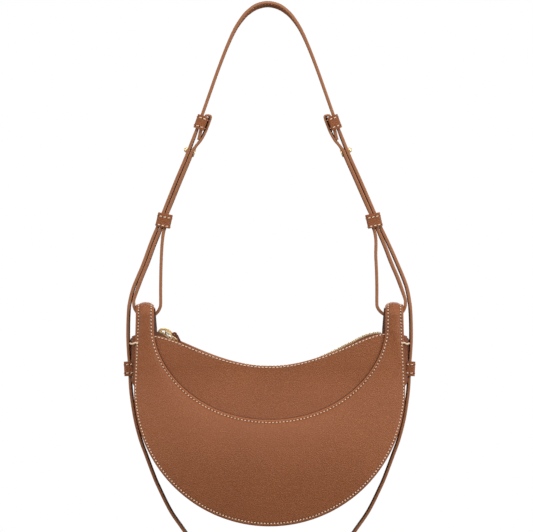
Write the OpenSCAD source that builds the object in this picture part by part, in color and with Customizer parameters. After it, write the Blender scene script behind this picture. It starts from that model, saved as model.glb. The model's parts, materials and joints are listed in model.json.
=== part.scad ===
// Half moon shoulder bag in grained leather, hung by the crown of its strap.
// Front is -Y, up is +Z. The origin is the underside of the strap's crown.

/* [Bag body] */
// Width of the front panel at its widest
bag_w = 262; // [225:1:300]
// Depth of the bag over both panels at its base
bag_d = 76; // [62:1:90]
// Depth of the bag at its zipped mouth
mouth_d = 28; // [24:0.5:33]
// Depth of a horn at its strap tunnel, without the outer leather
horn_d = 23; // [22:0.5:27]
// Height of the strap tunnels above the bottom of the bag
tunnel_z = 203; // [175:1:235]
// Width of a horn seen from the front
horn_w = 17.5; // [16:0.5:21]
// How far each side leans in from the widest point to the tunnel
side_lean = 1.6; // [0:0.1:4]
// Drop from the tunnels to the ends of the mouth
yoke_drop = 16.5; // [15:0.5:19]
// Dip of the mouth below its ends
yoke_dip = 32; // [27:0.5:38]
// Height of the yoke showing in the middle
yoke_h = 51.8; // [43:0.5:61]
// Radius of the horn's corners in front view
horn_corner_r = 3; // [2.5:0.1:3.6]

/* [Leather] */
// Thickness of the yokes, gusset, facings and boards
leather_t = 1.6; // [1.3:0.1:1.9]
// Thickness of the two crescent panels
crescent_t = 1.8; // [1.5:0.1:2.2]
// How far the yoke runs on under the crescent's edge
yoke_under = 7; // [5.8:0.2:8.4]
// How far the gusset is set in behind the panels' edges
gusset_inset = 4; // [3.3:0.1:4.4]
// How far a horn's inner facing is set in behind the panel's edge
facing_inset = 1; // [0.8:0.1:1.2]
// Thickness of the lining and its pocket
lining_t = 0.8; // [0.6:0.05:1]
// Width of the slip pocket
pocket_w = 110; // [90:1:130]
// Height of the slip pocket
pocket_h = 70; // [58:1:82]
// Height of the slip pocket's foot above the bag's bottom
pocket_z = 42; // [35:1:50]

/* [Straps] */
// Width of every strap
strap_w = 9; // [7.5:0.1:10.4]
// Thickness of every strap
strap_t = 3; // [2.5:0.1:3.5]
// Height of the crown's underside above the tunnels
strap_drop = 300; // [255:1:350]
// Gap between strap layers that lie on each other
layer_gap = 0.5; // [0.42:0.01:0.6]
// Extra gap between the layers halfway from stud to lower keeper
layer_belly = 0.9; // [0.7:0.05:1.1]
// Distance between the two legs of the loop through a horn
loop_w = 26; // [24.5:0.1:29]
// How far a connector's folded end rises above its upper keeper
fold_rise = 3.8; // [3.3:0.1:4.4]

/* [Keepers] */
// Height of the strap keepers along the strap
keeper_h = 13.6; // [11.5:0.1:16]
// Thickness of the strap keepers' leather
keeper_wall = 2.2; // [1.8:0.1:2.6]
// Clearance between a keeper and what runs in it
keeper_fit = 0.35; // [0.3:0.01:0.42]
// Distance from the crown down to the upper keepers
upper_keeper_drop = 113; // [94:1:134]
// Height of the lower keepers above the tunnels
lower_keeper_rise = 91.5; // [78:0.5:108]
// Height of the side keepers along the tail
side_keeper_h = 12.6; // [10.5:0.1:15]
// Thickness of the side keepers' leather
side_keeper_wall = 1.6; // [1.3:0.1:1.9]
// Distance from the tunnels down to the side keepers
side_keeper_drop = 52; // [46:0.5:58]
// Thickness of the side runners
runner_t = 1.4; // [1.2:0.1:1.7]
// Length of the side runners
runner_h = 46; // [40:0.5:52]
// Distance from the tunnels down to the runners' tops
runner_drop = 21; // [17.5:0.5:25]
// Room between a side keeper and the panels' edges
side_room = 2.2; // [1.8:0.1:2.6]
// Lean of the runners and side keepers, in degrees
side_tilt = 3; // [2.5:0.1:3.6]

/* [Studs] */
// Height of the studs above the tunnels
stud_rise = 158.5; // [150:0.5:172]
// Radius of the stud's ball
ball_r = 2.6; // [2.2:0.1:3]
// Radius of the stud's neck
neck_r = 1.4; // [1.2:0.1:1.7]
// Clearance round the neck in the straps' holes
neck_fit = 0.35; // [0.3:0.01:0.42]
// Radius of the stud's base disc
base_r = 3.6; // [3:0.1:4.3]
// Thickness of the stud's base disc
base_t = 1.3; // [1.1:0.1:1.5]

/* [Zip] */
// Length of the chain's level stretch at each end, from its arc to the horn
zip_level = 8; // [7:0.1:9]
// How far the chain's middle lies below the yoke's edge
zip_sink = 2; // [1.7:0.05:2.4]
// How far the chain's ends stand above the yoke's ends
zip_stand = 1.4; // [1.2:0.05:1.6]
// Distance from one tooth to the next
tooth_pitch = 2.5; // [2.1:0.1:3]
// Length of a tooth along the chain
tooth_len = 1.3; // [1.1:0.05:1.5]
// Half the height of a tooth
tooth_rise = 1.1; // [0.95:0.05:1.3]
// Half the gap between the two rows of teeth
row_gap = 0.6; // [0.55:0.05:0.7]
// Clearance of a tooth's legs on the tape
crimp_fit = 0.04; // [0.03:0.005:0.05]
// Reach of a tooth from the gap to the tape's edge
tooth_reach = 2.6; // [2.2:0.1:3]
// Thickness of the zip's tape
tape_t = 0.8; // [0.65:0.05:0.95]
// How far the tape is sewn down inside the yoke
tape_leg = 10; // [8.5:0.1:11.8]
// Length of the slider
slider_len = 9; // [7.5:0.1:10.6]
// Thickness of the slider's plates
plate_t = 1.2; // [1:0.1:1.4]
// Running clearance of the slider
slider_fit = 0.35; // [0.3:0.01:0.42]
// Half the length of the slider's bridge
bridge_half = 5.2; // [4.4:0.1:6]
// Height of the slider's bridge
bridge_h = 6.2; // [5.2:0.1:7.3]
// Thickness of the bridge's bar
bridge_bar = 1.5; // [1.3:0.1:1.8]
// Length of the pull's link between its two bars
link_len = 6; // [5.1:0.1:7]
// Radius of the pull's wire
wire_r = 0.65; // [0.55:0.05:0.75]
// Length of the leather pull
pull_len = 14; // [12:0.5:16.5]
// Width of the leather pull
pull_w = 6.4; // [5.4:0.1:7.5]
// Thickness of the leather pull
pull_t = 2.4; // [2:0.1:2.8]
// Clearance of the pull on its link
pull_fit = 0.3; // [0.25:0.01:0.35]
// Extra lift of the leather pull over the yoke, in degrees
pull_lift = 0.8; // [0.6:0.05:1]

/* [Hidden] */

tan_leather = [0.60, 0.38, 0.26];
edge_leather = [0.50, 0.30, 0.20];
brass = [0.87, 0.72, 0.42];
cloth = [0.72, 0.60, 0.47];
tape_brown = [0.35, 0.20, 0.13];

left = -1;
right = 1;
// Every cut runs past its solid by this much
overrun = 1;
// A cutting block that is larger than the whole bag
reach = 3 * bag_w;
round_steps = 48;
$fn = round_steps;

half_w = bag_w / 2;
base_half = bag_d / 2;
mouth_half = mouth_d / 2;
horn_half = horn_d / 2;
horn_out_x = half_w - side_lean;
horn_in_x = horn_out_x - horn_w;
horn_top = tunnel_z + horn_half + crescent_t;
yoke_end_z = tunnel_z - yoke_drop;
yoke_low_z = yoke_end_z - yoke_dip;
seam_low_z = yoke_low_z - yoke_h;
// The crescent's edge starts its curve this far above the mouth's ends
seam_lift = leather_t * 1.6;
seam_top_z = yoke_end_z + seam_lift;
wall_in = gusset_inset + leather_t;
face_in = facing_inset + leather_t;
core_low_z = yoke_end_z - yoke_under;
crown_z = tunnel_z + strap_drop;

// Shares of half width and depth that shape the two dipping edges
seam_start_shares = [1, 0.21];
seam_low_share = 0.643;
mouth_start_shares = [0.775, 0.063];
mouth_low_share = 0.45;
// The sides close in from base to mouth faster with a larger power
depth_power = 1.6;

function mix(a, b, t) = a + (b - a) * t;
function bezier(p, q, r, s, t) =
    p * pow(1 - t, 3) + q * 3 * t * pow(1 - t, 2) + r * 3 * t * t * (1 - t) + s * pow(t, 3);
function arc(cx, cy, r, from, to, steps) =
    [for (i = [0:steps]) let (a = mix(from, to, i / steps)) [cx + r * cos(a), cy + r * sin(a)]];
function flipped(points) = [for (i = [len(points) - 1:-1:0]) [-points[i].x, points[i].y]];
function both_halves(points) = concat(points, flipped(points));

// An edge that dips from its end at x0, z0 to its low point on the centre line
function dip(x0, z0, low, starts, ends, steps = 24) =
    [for (i = [0:steps])
        bezier([x0, z0], [x0 * starts[0], z0 - (z0 - low) * starts[1]], [x0 * ends, low], [0, low], i / steps)];

// Half depth of the bag at a height, to the yoke's outer face
function half_depth(z) =
    z < yoke_low_z
        ? mix(mouth_half, base_half, (1 + cos(180 * pow(max(z, 0) / yoke_low_z, depth_power))) / 2)
        : mix(mouth_half, horn_half, (z - yoke_low_z) / (tunnel_z - yoke_low_z));

// Where the bag's side stands at a height above its widest point
function side_x(z) = half_w - side_lean * (z - half_w) / (tunnel_z - half_w);

// Side view of the bag, grown by a, as an outline in y and z
function profile(a) =
    let (steps = 22,
         wall = [for (i = [0:steps]) let (z = yoke_low_z * i / steps) [half_depth(z) + a, z]])
    both_halves(concat([[base_half + a, -overrun]], wall, arc(0, tunnel_z, horn_half + a, 0, 90, 16)));

// Right half of the bag's front outline, set in by d, up to a height
function half_outline(d, top) =
    concat(arc(0, half_w, half_w - d, -90, 0, 40), [[side_x(top) - d, top]]);

module in_frame() {
    translate([0, 0, -crown_z]) children();
}

module on_side(side) {
    mirror([side < 0 ? 1 : 0, 0, 0]) children();
}

module front_view(points, depth = reach) {
    rotate([90, 0, 0]) linear_extrude(depth, center = true) polygon(points);
}

module side_view(points, width = reach) {
    rotate([90, 0, 90]) linear_extrude(width, center = true) polygon(points);
}

// The space between two profiles
module skin(outer, inner) {
    difference() {
        side_view(profile(outer));
        side_view(profile(inner), reach + overrun);
    }
}

// The half of space in front of, or behind, the centre plane
module half_space(side, low = -reach, high = reach) {
    translate([0, side * reach / 2, (low + high) / 2]) cube([reach, reach, high - low], center = true);
}

module tunnel_hole() {
    translate([0, 0, tunnel_z]) rotate([0, 90, 0]) cylinder(r = tunnel_r, h = reach, center = true);
}

function crescent_outline() =
    let (r = horn_corner_r, out = side_x(horn_top))
    both_halves(concat(
        arc(0, half_w, half_w, -90, 0, 40),
        arc(out - r, horn_top - r, r, 0, 90, 6),
        arc(horn_in_x + r, horn_top - r, r, 90, 180, 6),
        dip(horn_in_x, seam_top_z, seam_low_z, seam_start_shares, seam_low_share)));

function yoke_foot() =
    dip(horn_in_x + face_in, yoke_end_z - yoke_under, seam_low_z - yoke_under, seam_start_shares, seam_low_share);

function mouth_edge(drop = 0) =
    dip(horn_in_x, yoke_end_z - drop, yoke_low_z - drop, mouth_start_shares, mouth_low_share);

function yoke_outline() =
    let (top = mouth_edge(), foot = yoke_foot(), x = horn_in_x + face_in)
    concat([[x, yoke_end_z]], top, flipped(top), [[-x, yoke_end_z]],
        [for (p = foot) [-p.x, p.y]], [for (i = [len(foot) - 1:-1:0]) foot[i]]);

function board_outline() =
    both_halves(concat(half_outline(wall_in, yoke_end_z - yoke_under), yoke_foot()));

module crescent(side) {
    color(tan_leather) in_frame() intersection() {
        front_view(crescent_outline());
        skin(crescent_t, 0);
        if (side < 0) union() {
            half_space(side);
            half_space(-side, tunnel_z);
        }
        else half_space(side, -reach, tunnel_z);
    }
}

module yoke(side) {
    color(tan_leather) in_frame() intersection() {
        front_view(yoke_outline());
        skin(0, -leather_t);
        half_space(side);
    }
}

// Ring between two insets of the outline, open between the horns
module outline_ring(d0, d1) {
    top = horn_top;
    difference() {
        front_view(both_halves(half_outline(d0, top)));
        front_view(both_halves(half_outline(d1, top + overrun)), reach + overrun);
    }
}

module gusset() {
    color(edge_leather) in_frame() difference() {
        union() {
            intersection() {
                outline_ring(0, wall_in);
                skin(0, -leather_t);
            }
            intersection() {
                outline_ring(gusset_inset, wall_in);
                side_view(profile(-leather_t / 2));
            }
        }
        tunnel_hole();
    }
}

module horn_core(side) {
    x = horn_in_x + face_in;
    color(cloth) in_frame() on_side(side) difference() {
        intersection() {
            front_view([[x, core_low_z], [side_x(core_low_z) - wall_in, core_low_z],
                [side_x(horn_top) - wall_in, horn_top], [x, horn_top]]);
            side_view(profile(0));
        }
        tunnel_hole();
    }
}

module horn_facing(side) {
    x = horn_in_x + facing_inset;
    color(edge_leather) in_frame() on_side(side) difference() {
        union() {
            intersection() {
                front_view([[x, yoke_end_z], [x + leather_t, yoke_end_z], [x + leather_t, horn_top], [x, horn_top]]);
                side_view(profile(0));
            }
            intersection() {
                front_view([[x, core_low_z], [x + leather_t, core_low_z],
                    [x + leather_t, yoke_end_z], [x, yoke_end_z]]);
                side_view(profile(-leather_t));
            }
        }
        tunnel_hole();
    }
}

module board(side) {
    color(cloth) in_frame() intersection() {
        front_view(board_outline());
        skin(0, -leather_t);
        half_space(side);
    }
}

lining_drop = tape_leg + (zip_sink + tape_t) * 3;

function lining_outline(d, rise) =
    let (edge = mouth_edge(lining_drop), top = yoke_end_z - lining_drop)
    both_halves(concat(half_outline(wall_in + d, top + rise), [for (p = edge) [p.x, p.y + rise]]));

module lining() {
    color(cloth) in_frame() difference() {
        intersection() {
            front_view(lining_outline(0, 0));
            side_view(profile(-leather_t));
        }
        intersection() {
            front_view(lining_outline(lining_t, overrun));
            side_view(profile(-leather_t - lining_t));
        }
    }
}

module slip_pocket() {
    inside = leather_t + lining_t;
    color(cloth) in_frame() intersection() {
        translate([0, 0, pocket_z + pocket_h / 2]) cube([pocket_w, reach, pocket_h], center = true);
        skin(-inside, -inside - lining_t);
        half_space(1);
    }
}

// The chain runs on one arc, on which the slider travels, and levels out at each end
zip_low_z = yoke_low_z - zip_sink;
zip_end_x = horn_in_x + facing_inset;
zip_end_z = yoke_end_z + zip_stand;
zip_run = horn_in_x - zip_level;
zip_rise = (zip_end_z - zip_low_z) * zip_run / zip_end_x;
zip_r = (zip_run * zip_run + zip_rise * zip_rise) / (2 * zip_rise);
zip_c = zip_low_z + zip_r;
zip_a = asin(zip_run / zip_r);
pitch_a = 2 * asin(tooth_pitch / zip_r / 2);
end_len = zip_end_x - zip_run;
end_teeth = floor(end_len / tooth_pitch) - 2;

function chain_z(a) = zip_c - zip_r * cos(a);
// Place and slope on the level stretch past the arc, for t from 0 to 1
function end_place(t) =
    let (p = [zip_run, chain_z(zip_a)], s = [zip_end_x, zip_end_z],
         q = p + [cos(zip_a), sin(zip_a)] * end_len / 3, r = s - [end_len / 3, 0],
         here = bezier(p, q, r, s, t), next = bezier(p, q, r, s, t + 1 / round_steps), d = next - here)
    [here.x, here.y, atan2(d.y, d.x)];
function arc_place(a) = [zip_r * sin(a), chain_z(a), a];
chain_half = concat([for (i = [0:30]) arc_place(zip_a * i / 30)], [for (i = [1:14]) end_place(i / 14)]);
chain_line = concat(
    [for (i = [len(chain_half) - 1:-1:1]) [-chain_half[i].x, chain_half[i].y]],
    [for (p = chain_half) [p.x, p.y]]);

// Unit normal of a line of points, on the left of its direction
function normal_at(line, i) =
    let (p = line[max(i - 1, 0)], q = line[min(i + 1, len(line) - 1)], d = (q - p) / norm(q - p))
    [-d.y, d.x];
function beside(line, d) = [for (i = [0:len(line) - 1]) line[i] + normal_at(line, i) * d];
function reversed(line) = [for (i = [len(line) - 1:-1:0]) line[i]];
// Outline of a band along a line, between two distances to its left
function band(line, d0, d1) = concat(beside(line, d0), reversed(beside(line, d1)));

module zip_tape(side) {
    inner_y = row_gap + tooth_reach;
    line = chain_line;
    leg = concat([for (p = line) [p.x, p.y + tape_t / 2]], [for (p = reversed(line)) [p.x, p.y - tape_leg]]);
    color(tape_brown) in_frame() union() {
        intersection() {
            front_view(band(line, -tape_t / 2, tape_t / 2));
            side_view(profile(-leather_t));
            translate([0, side * (inner_y + reach / 2), 0]) cube([reach, reach, reach], center = true);
        }
        intersection() {
            front_view(leg);
            skin(-leather_t, -leather_t - tape_t);
            half_space(side);
        }
    }
}

// Puts its children on the chain, with x along it and z towards the arc's centre
module on_chain(place) {
    translate([place.x, 0, place.y]) rotate([0, -place.z, 0]) children();
}

// One tooth, seen along the chain: a head, a body and two legs that grip the tape's edge
module tooth() {
    y0 = row_gap;
    y1 = row_gap + tooth_reach;
    grip = tape_t / 2 + crimp_fit;
    head = tooth_rise * 0.7;
    leg = tooth_reach * 0.38;
    rotate([90, 0, 90]) linear_extrude(tooth_len, center = true) polygon([
        [y0, -head], [y0, head], [y0 + leg, tooth_rise], [y1 + leg, tooth_rise], [y1 + leg, grip],
        [y1, grip], [y1, -grip], [y1 + leg, -grip], [y1 + leg, -tooth_rise], [y0 + leg, -tooth_rise]]);
}

module tooth_row(side) {
    last = floor(zip_a / pitch_a);
    stagger = side < 0 ? 0 : pitch_a / 2;
    for (i = [-last:last - 1]) on_chain(arc_place(i * pitch_a + stagger)) children();
    for (end = [left, right], k = [1:max(end_teeth, 1)]) let (p = end_place(k * tooth_pitch / end_len))
        on_chain([end * p.x, p.y, end * p.z]) children();
}

module zip_teeth(side) {
    color(brass) in_frame() tooth_row(side) mirror([0, side < 0 ? 1 : 0, 0]) tooth();
}

// Leather end over the tape, from the last teeth to the horn's facing
module zip_end(side) {
    first = (end_teeth + 1.2) * tooth_pitch / end_len;
    line = [for (i = [0:5]) let (p = end_place(mix(first, 1, i / 5))) [p.x, p.y]];
    color(edge_leather) in_frame() on_side(side) intersection() {
        front_view(band(line, tape_t / 2, tape_t / 2 + leather_t));
        side_view(profile(-leather_t));
    }
}

slider_rest_a = -asin((zip_run - slider_len / 2 - tooth_pitch / 4) / zip_r);
inside_rise = tooth_rise + slider_fit;
top_rise = inside_rise + plate_t;
rail_y = row_gap + tooth_reach * 1.38 + slider_fit;
rail_t = plate_t * 0.7;
slider_half_w = rail_y + rail_t;

// Half an ellipse on the slider's top, for its bridge
function bridge_curve(rx, rz) = [for (i = [0:18]) let (a = 180 * i / 18) [rx * cos(a), rz * sin(a)]];

module slider_plate(z0, z1) {
    r = slider_half_w * 0.6;
    translate([0, 0, z0]) linear_extrude(z1 - z0) union() {
        square([slider_len - 2 * r, 2 * slider_half_w], center = true);
        square([slider_len, 2 * (slider_half_w - r)], center = true);
        for (x = [left, right], y = [left, right])
            translate([x * (slider_len / 2 - r), y * (slider_half_w - r)]) circle(r);
    }
}

module zip_slider() {
    slot = tape_t / 2 + slider_fit;
    rail_len = slider_len - 2 * slider_half_w * 0.6;
    post_t = row_gap * 1.1;
    post_len = slider_len / 5;
    color(brass) in_frame() on_chain(arc_place(slider_rest_a)) union() {
        slider_plate(inside_rise, top_rise);
        slider_plate(-top_rise, -inside_rise);
        for (y = [left, right], z = [left, right])
            translate([0, y * (rail_y + rail_t / 2), z * (slot + inside_rise) / 2])
                cube([rail_len, rail_t, inside_rise - slot + plate_t / 2], center = true);
        translate([-slider_len / 2 + post_len * 1.1, 0, 0])
            cube([post_len, post_t, 2 * inside_rise + plate_t], center = true);
        translate([0, 0, top_rise - plate_t / 4]) rotate([90, 0, 0])
            linear_extrude(bridge_bar * 1.3, center = true) difference() {
                polygon(bridge_curve(bridge_half, bridge_h));
                polygon(bridge_curve(bridge_half - bridge_bar, bridge_h - bridge_bar));
            }
    }
}

// The link's inner bar lies inside the bridge's foot, and its outer bar carries the pull
link_z = top_rise + wire_r + slider_fit;
link_x = bridge_half - bridge_bar - wire_r - pull_fit * 1.5;
link_half_w = pull_w * 0.42;

module wire_bar(from, to) {
    d = to - from;
    translate(from) rotate([0, 0, atan2(d.y, d.x)]) rotate([0, 90, 0]) cylinder(r = wire_r, h = norm(d));
}

module puller_link() {
    corners = [[0, -link_half_w, 0], [link_len, -link_half_w, 0], [link_len, link_half_w, 0], [0, link_half_w, 0]];
    color(brass) in_frame() on_chain(arc_place(slider_rest_a)) translate([link_x, 0, link_z]) union() {
        for (i = [0:3]) {
            wire_bar(corners[i], corners[(i + 1) % 4]);
            translate(corners[i]) sphere(wire_r);
        }
    }
}

pull_tilt = (link_x + link_len + pull_len) / (2 * zip_r) * 180 / PI + pull_lift;

module puller_tab() {
    eye = wire_r + pull_fit;
    neck_w = 2 * (link_half_w - wire_r - pull_fit * 1.5);
    eye_out = max(pull_t / 2, eye + wire_r * 1.3);
    end_r = pull_w / 2;
    color(edge_leather) in_frame() on_chain(arc_place(slider_rest_a)) translate([link_x + link_len, 0, link_z])
        rotate([0, -pull_tilt, 0]) difference() {
            union() {
                rotate([90, 0, 0]) cylinder(r = eye_out, h = neck_w, center = true);
                translate([0, -neck_w / 2, -pull_t / 2]) cube([pull_len / 3, neck_w, pull_t]);
                translate([0, 0, -pull_t / 2]) linear_extrude(pull_t) union() {
                    polygon([[pull_len / 5, -neck_w / 2], [pull_len / 3, -end_r], [pull_len - end_r, -end_r],
                        [pull_len - end_r, end_r], [pull_len / 3, end_r], [pull_len / 5, neck_w / 2]]);
                    translate([pull_len - end_r, 0]) circle(end_r);
                }
            }
            rotate([90, 0, 0]) cylinder(r = eye, h = pull_w + overrun, center = true);
        }
}

// The strap's route, as the line of its inner face down one side. The shares are of half the bag's
// width, with one strap thickness added by the tunnels, and of the crown's height above the tunnels.
upper_route_shares = [
    [0, 1], [0.075, 0.993], [0.134, 0.976], [0.177, 0.956], [0.232, 0.919], [0.291, 0.861], [0.357, 0.784],
    [0.448, 0.668], [0.498, 0.605], [0.578, 0.513], [0.653, 0.436], [0.744, 0.339], [0.835, 0.243],
    [0.901, 0.165], [0.937, 0.127], [0.973, 0.088], [0.995, 0.05], [1.006, 0.013]];
// Below the side keepers the shares are of half the width and of the tunnels' height
lower_route_shares = [
    [0.98, 0.6], [0.956, 0.506], [0.918, 0.412], [0.878, 0.341], [0.826, 0.251], [0.789, 0.194],
    [0.702, 0.08], [0.613, -0.005], [0.441, -0.159]];

runner_top_z = tunnel_z - runner_drop;
runner_low_z = runner_top_z - runner_h;
side_stand = 2 * keeper_fit + runner_t + side_keeper_wall + side_room;
function side_line_x(z) = horn_out_x + side_stand - (runner_top_z - z) * tan(side_tilt);

route_points = concat(
    [for (s = upper_route_shares) [s[0] * half_w + strap_t * (1 - s[1]), tunnel_z + s[1] * strap_drop]],
    [for (z = [runner_top_z, runner_top_z - runner_h / 2, runner_low_z])
        [side_line_x(z), z]],
    [for (s = lower_route_shares) [s[0] * half_w + strap_t, s[1] * tunnel_z]]);

function spline_point(a, b, c, d, t) =
    (2 * b + (c - a) * t + (2 * a - 5 * b + 4 * c - d) * t * t + (3 * b - a - 3 * c + d) * pow(t, 3)) / 2;
function spline(p, steps) =
    let (last = len(p) - 1)
    concat([for (i = [0:last - 1], k = [0:steps - 1])
        spline_point(p[max(i - 1, 0)], p[i], p[i + 1], p[min(i + 2, last)], k / steps)], [p[last]]);

// The first point is mirrored ahead of the line, so that the crown is round at its top
route = let (p = route_points, line = spline(concat([[-p[1].x, p[1].y]], p), 4)) [for (i = [4:len(line) - 1]) line[i]];
route_xs = [for (i = [len(route) - 1:-1:0]) [route[i].y, route[i].x]];
function route_x(z) = lookup(z, route_xs);
// Angle of the route from upright at a height, leaning in towards the top
function route_lean(z) = atan2(route_x(z - strap_t) - route_x(z + strap_t), 2 * strap_t);
function outward(z) = [cos(route_lean(z)), sin(route_lean(z))];
// A point at a height on the route, moved inwards by v
function inside(z, v) = [route_x(z), z] - outward(z) * v;

upper_keeper_z = crown_z - upper_keeper_drop;
lower_keeper_z = tunnel_z + lower_keeper_rise;
stud_z = tunnel_z + stud_rise;
side_keeper_z = tunnel_z - side_keeper_drop;

near_v = layer_gap + strap_t / 2;
third_v = near_v + layer_gap + strap_t;
far_v = layer_gap + strap_t * 1.5 + keeper_fit * 2 + keeper_wall + layer_gap;

loop_r = loop_w / 2;
mid_x = horn_out_x + layer_gap + strap_t / 2;
loop_x = mid_x - loop_r;
inner_x = mid_x - loop_w;
// The loop's foot hangs a little under the tunnel's axis
loop_z = tunnel_z + loop_r - strap_t * 0.35;
// How high the loop's line stands over the tunnel's axis at the gusset's wall
bend_rise = loop_r - sqrt(pow(loop_r, 2) - pow(side_x(tunnel_z) - gusset_inset - loop_x, 2));
tunnel_r = norm([strap_w / 2, bend_rise + strap_t * 0.6]) + keeper_fit;

// Centre line of a connector: its folded end, down past the stud, through the horn and back up
connector_points = let (k = upper_keeper_z, h = keeper_h / 2, q = lower_keeper_z, u = q - h, d = u - loop_z,
                        low = k - h * 1.25, foot = stud_z + base_r)
    concat(
        [inside(k - h - layer_gap, near_v), inside(k - h / 2, near_v), inside(k + h / 2, near_v), inside(k + h, near_v),
         inside(k + h + fold_rise * 0.72, near_v + strap_t * 0.3),
         inside(k + h + fold_rise, mix(near_v, far_v, 0.5)),
         inside(k + h + fold_rise * 0.62, far_v - strap_t * 0.1),
         inside(k + h / 2, far_v + layer_gap),
         inside(k - h / 2, far_v),
         inside(low, far_v - strap_t * 0.1),
         inside(mix(low, foot, 0.35), mix(far_v, near_v, 0.3)),
         inside(mix(low, foot, 0.7), mix(far_v, near_v, 0.76)),
         inside(foot, near_v), inside(stud_z - base_r, near_v)],
        [for (s = [0.25, 0.5, 0.75]) inside(mix(stud_z - base_r, q + h, s), near_v + layer_belly * sin(180 * s))],
        [inside(q + h, near_v), inside(q, near_v), inside(q - h, near_v)],
        [for (s = [0.25, 0.5, 0.75]) inside(mix(u, loop_z + loop_r * 0.6, s), near_v)],
        [[mix(mid_x, inside(loop_z + loop_r * 0.6, near_v).x, 0.5), loop_z + loop_r * 0.4]],
        [for (a = [0:-18:-180]) [loop_x + loop_r * cos(a), loop_z + loop_r * sin(a)]],
        [[inner_x, loop_z + d * 0.22], [mix(inner_x, inside(u, third_v).x, 0.12), loop_z + d * 0.5],
         [mix(inner_x, inside(u, third_v).x, 0.45), loop_z + d * 0.78]],
        [inside(q - h, third_v), inside(q, third_v), inside(q + h - layer_gap, third_v)]);

module strap_band(line, d0, d1) {
    front_view(band(line, d0, d1), strap_w);
}

// Everything above the tunnels, ending in a half round about the tunnels' axis
module above_tunnels() {
    translate([0, 0, tunnel_z + reach / 2]) cube([reach, reach, reach], center = true);
    translate([0, 0, tunnel_z]) rotate([0, 90, 0]) cylinder(r = strap_w / 2, h = reach, center = true);
}

// Puts its children on the route at a height, with z up along it and x outwards
module on_route(z) {
    translate([route_x(z), 0, z]) rotate([0, -route_lean(z), 0]) children();
}

module stud_hole() {
    on_route(stud_z) rotate([0, 90, 0]) cylinder(r = neck_r + neck_fit, h = 8 * strap_t, center = true);
}

module shoulder_strap() {
    whole = concat([for (i = [len(route) - 1:-1:1]) [-route[i].x, route[i].y]], route);
    color(tan_leather) in_frame() difference() {
        intersection() {
            strap_band(whole, 0, strap_t);
            above_tunnels();
        }
        for (side = [left, right]) on_side(side) stud_hole();
    }
}

module connector(side) {
    color(tan_leather) in_frame() on_side(side) difference() {
        strap_band(spline(connector_points, 3), -strap_t / 2, strap_t / 2);
        stud_hole();
    }
}

module tail(side) {
    tip = route[len(route) - 1];
    before = route[len(route) - 3];
    lean = atan2(tip.x - before.x, tip.y - before.y);
    cut_z = tunnel_z - strap_w / 2 - layer_gap;
    tip_r = strap_w * 0.57;
    color(tan_leather) in_frame() on_side(side) intersection() {
        strap_band(route, 0, strap_t);
        translate([0, 0, cut_z - reach / 2]) cube([reach, reach, reach], center = true);
        translate([tip.x, 0, tip.y]) rotate([0, lean, 0]) union() {
            translate([0, 0, -tip_r - reach / 2]) cube(reach, center = true);
            translate([0, 0, -tip_r]) rotate([0, 90, 0]) cylinder(r = tip_r, h = 8 * strap_t, center = true);
        }
    }
}

ball_x = strap_t + ball_r * 0.85;
stud_back = near_v + strap_t / 2;

module stud(side) {
    color(brass) in_frame() on_side(side) on_route(stud_z) rotate([0, 90, 0]) union() {
        translate([0, 0, ball_x]) sphere(ball_r);
        translate([0, 0, -stud_back]) cylinder(r = neck_r, h = stud_back + ball_x);
    }
}

module stud_base(side) {
    color(brass) in_frame() on_side(side) on_route(stud_z) rotate([0, 90, 0])
        translate([0, 0, -stud_back - base_t]) cylinder(r = base_r, h = base_t);
}

// A sewn leather band round straps: its cavity spans x0 to x1 and its corners are round
module keeper(x0, x1, wall, h) {
    in_y = strap_w / 2 + keeper_fit;
    mid = (x0 + x1) / 2;
    in_x = (x1 - x0) / 2;
    translate([mid, 0, -h / 2]) linear_extrude(h) difference() {
        union() {
            square([2 * in_x, 2 * (in_y + wall)], center = true);
            square([2 * (in_x + wall), 2 * in_y], center = true);
            for (x = [left, right], y = [left, right]) translate([x * in_x, y * in_y]) circle(wall);
        }
        square([2 * in_x, 2 * in_y], center = true);
    }
}

module upper_keeper(side) {
    color(tan_leather) in_frame() on_side(side) on_route(upper_keeper_z)
        keeper(-near_v - strap_t / 2 - keeper_fit, strap_t + keeper_fit, keeper_wall, keeper_h);
}

module lower_keeper(side) {
    color(tan_leather) in_frame() on_side(side) on_route(lower_keeper_z)
        keeper(-third_v - strap_t / 2 - keeper_fit, strap_t + keeper_fit, keeper_wall, keeper_h);
}

module side_keeper(side) {
    color(tan_leather) in_frame() on_side(side) on_route(side_keeper_z)
        keeper(-keeper_fit - runner_t - keeper_fit, strap_t + keeper_fit, side_keeper_wall, side_keeper_h);
}

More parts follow.
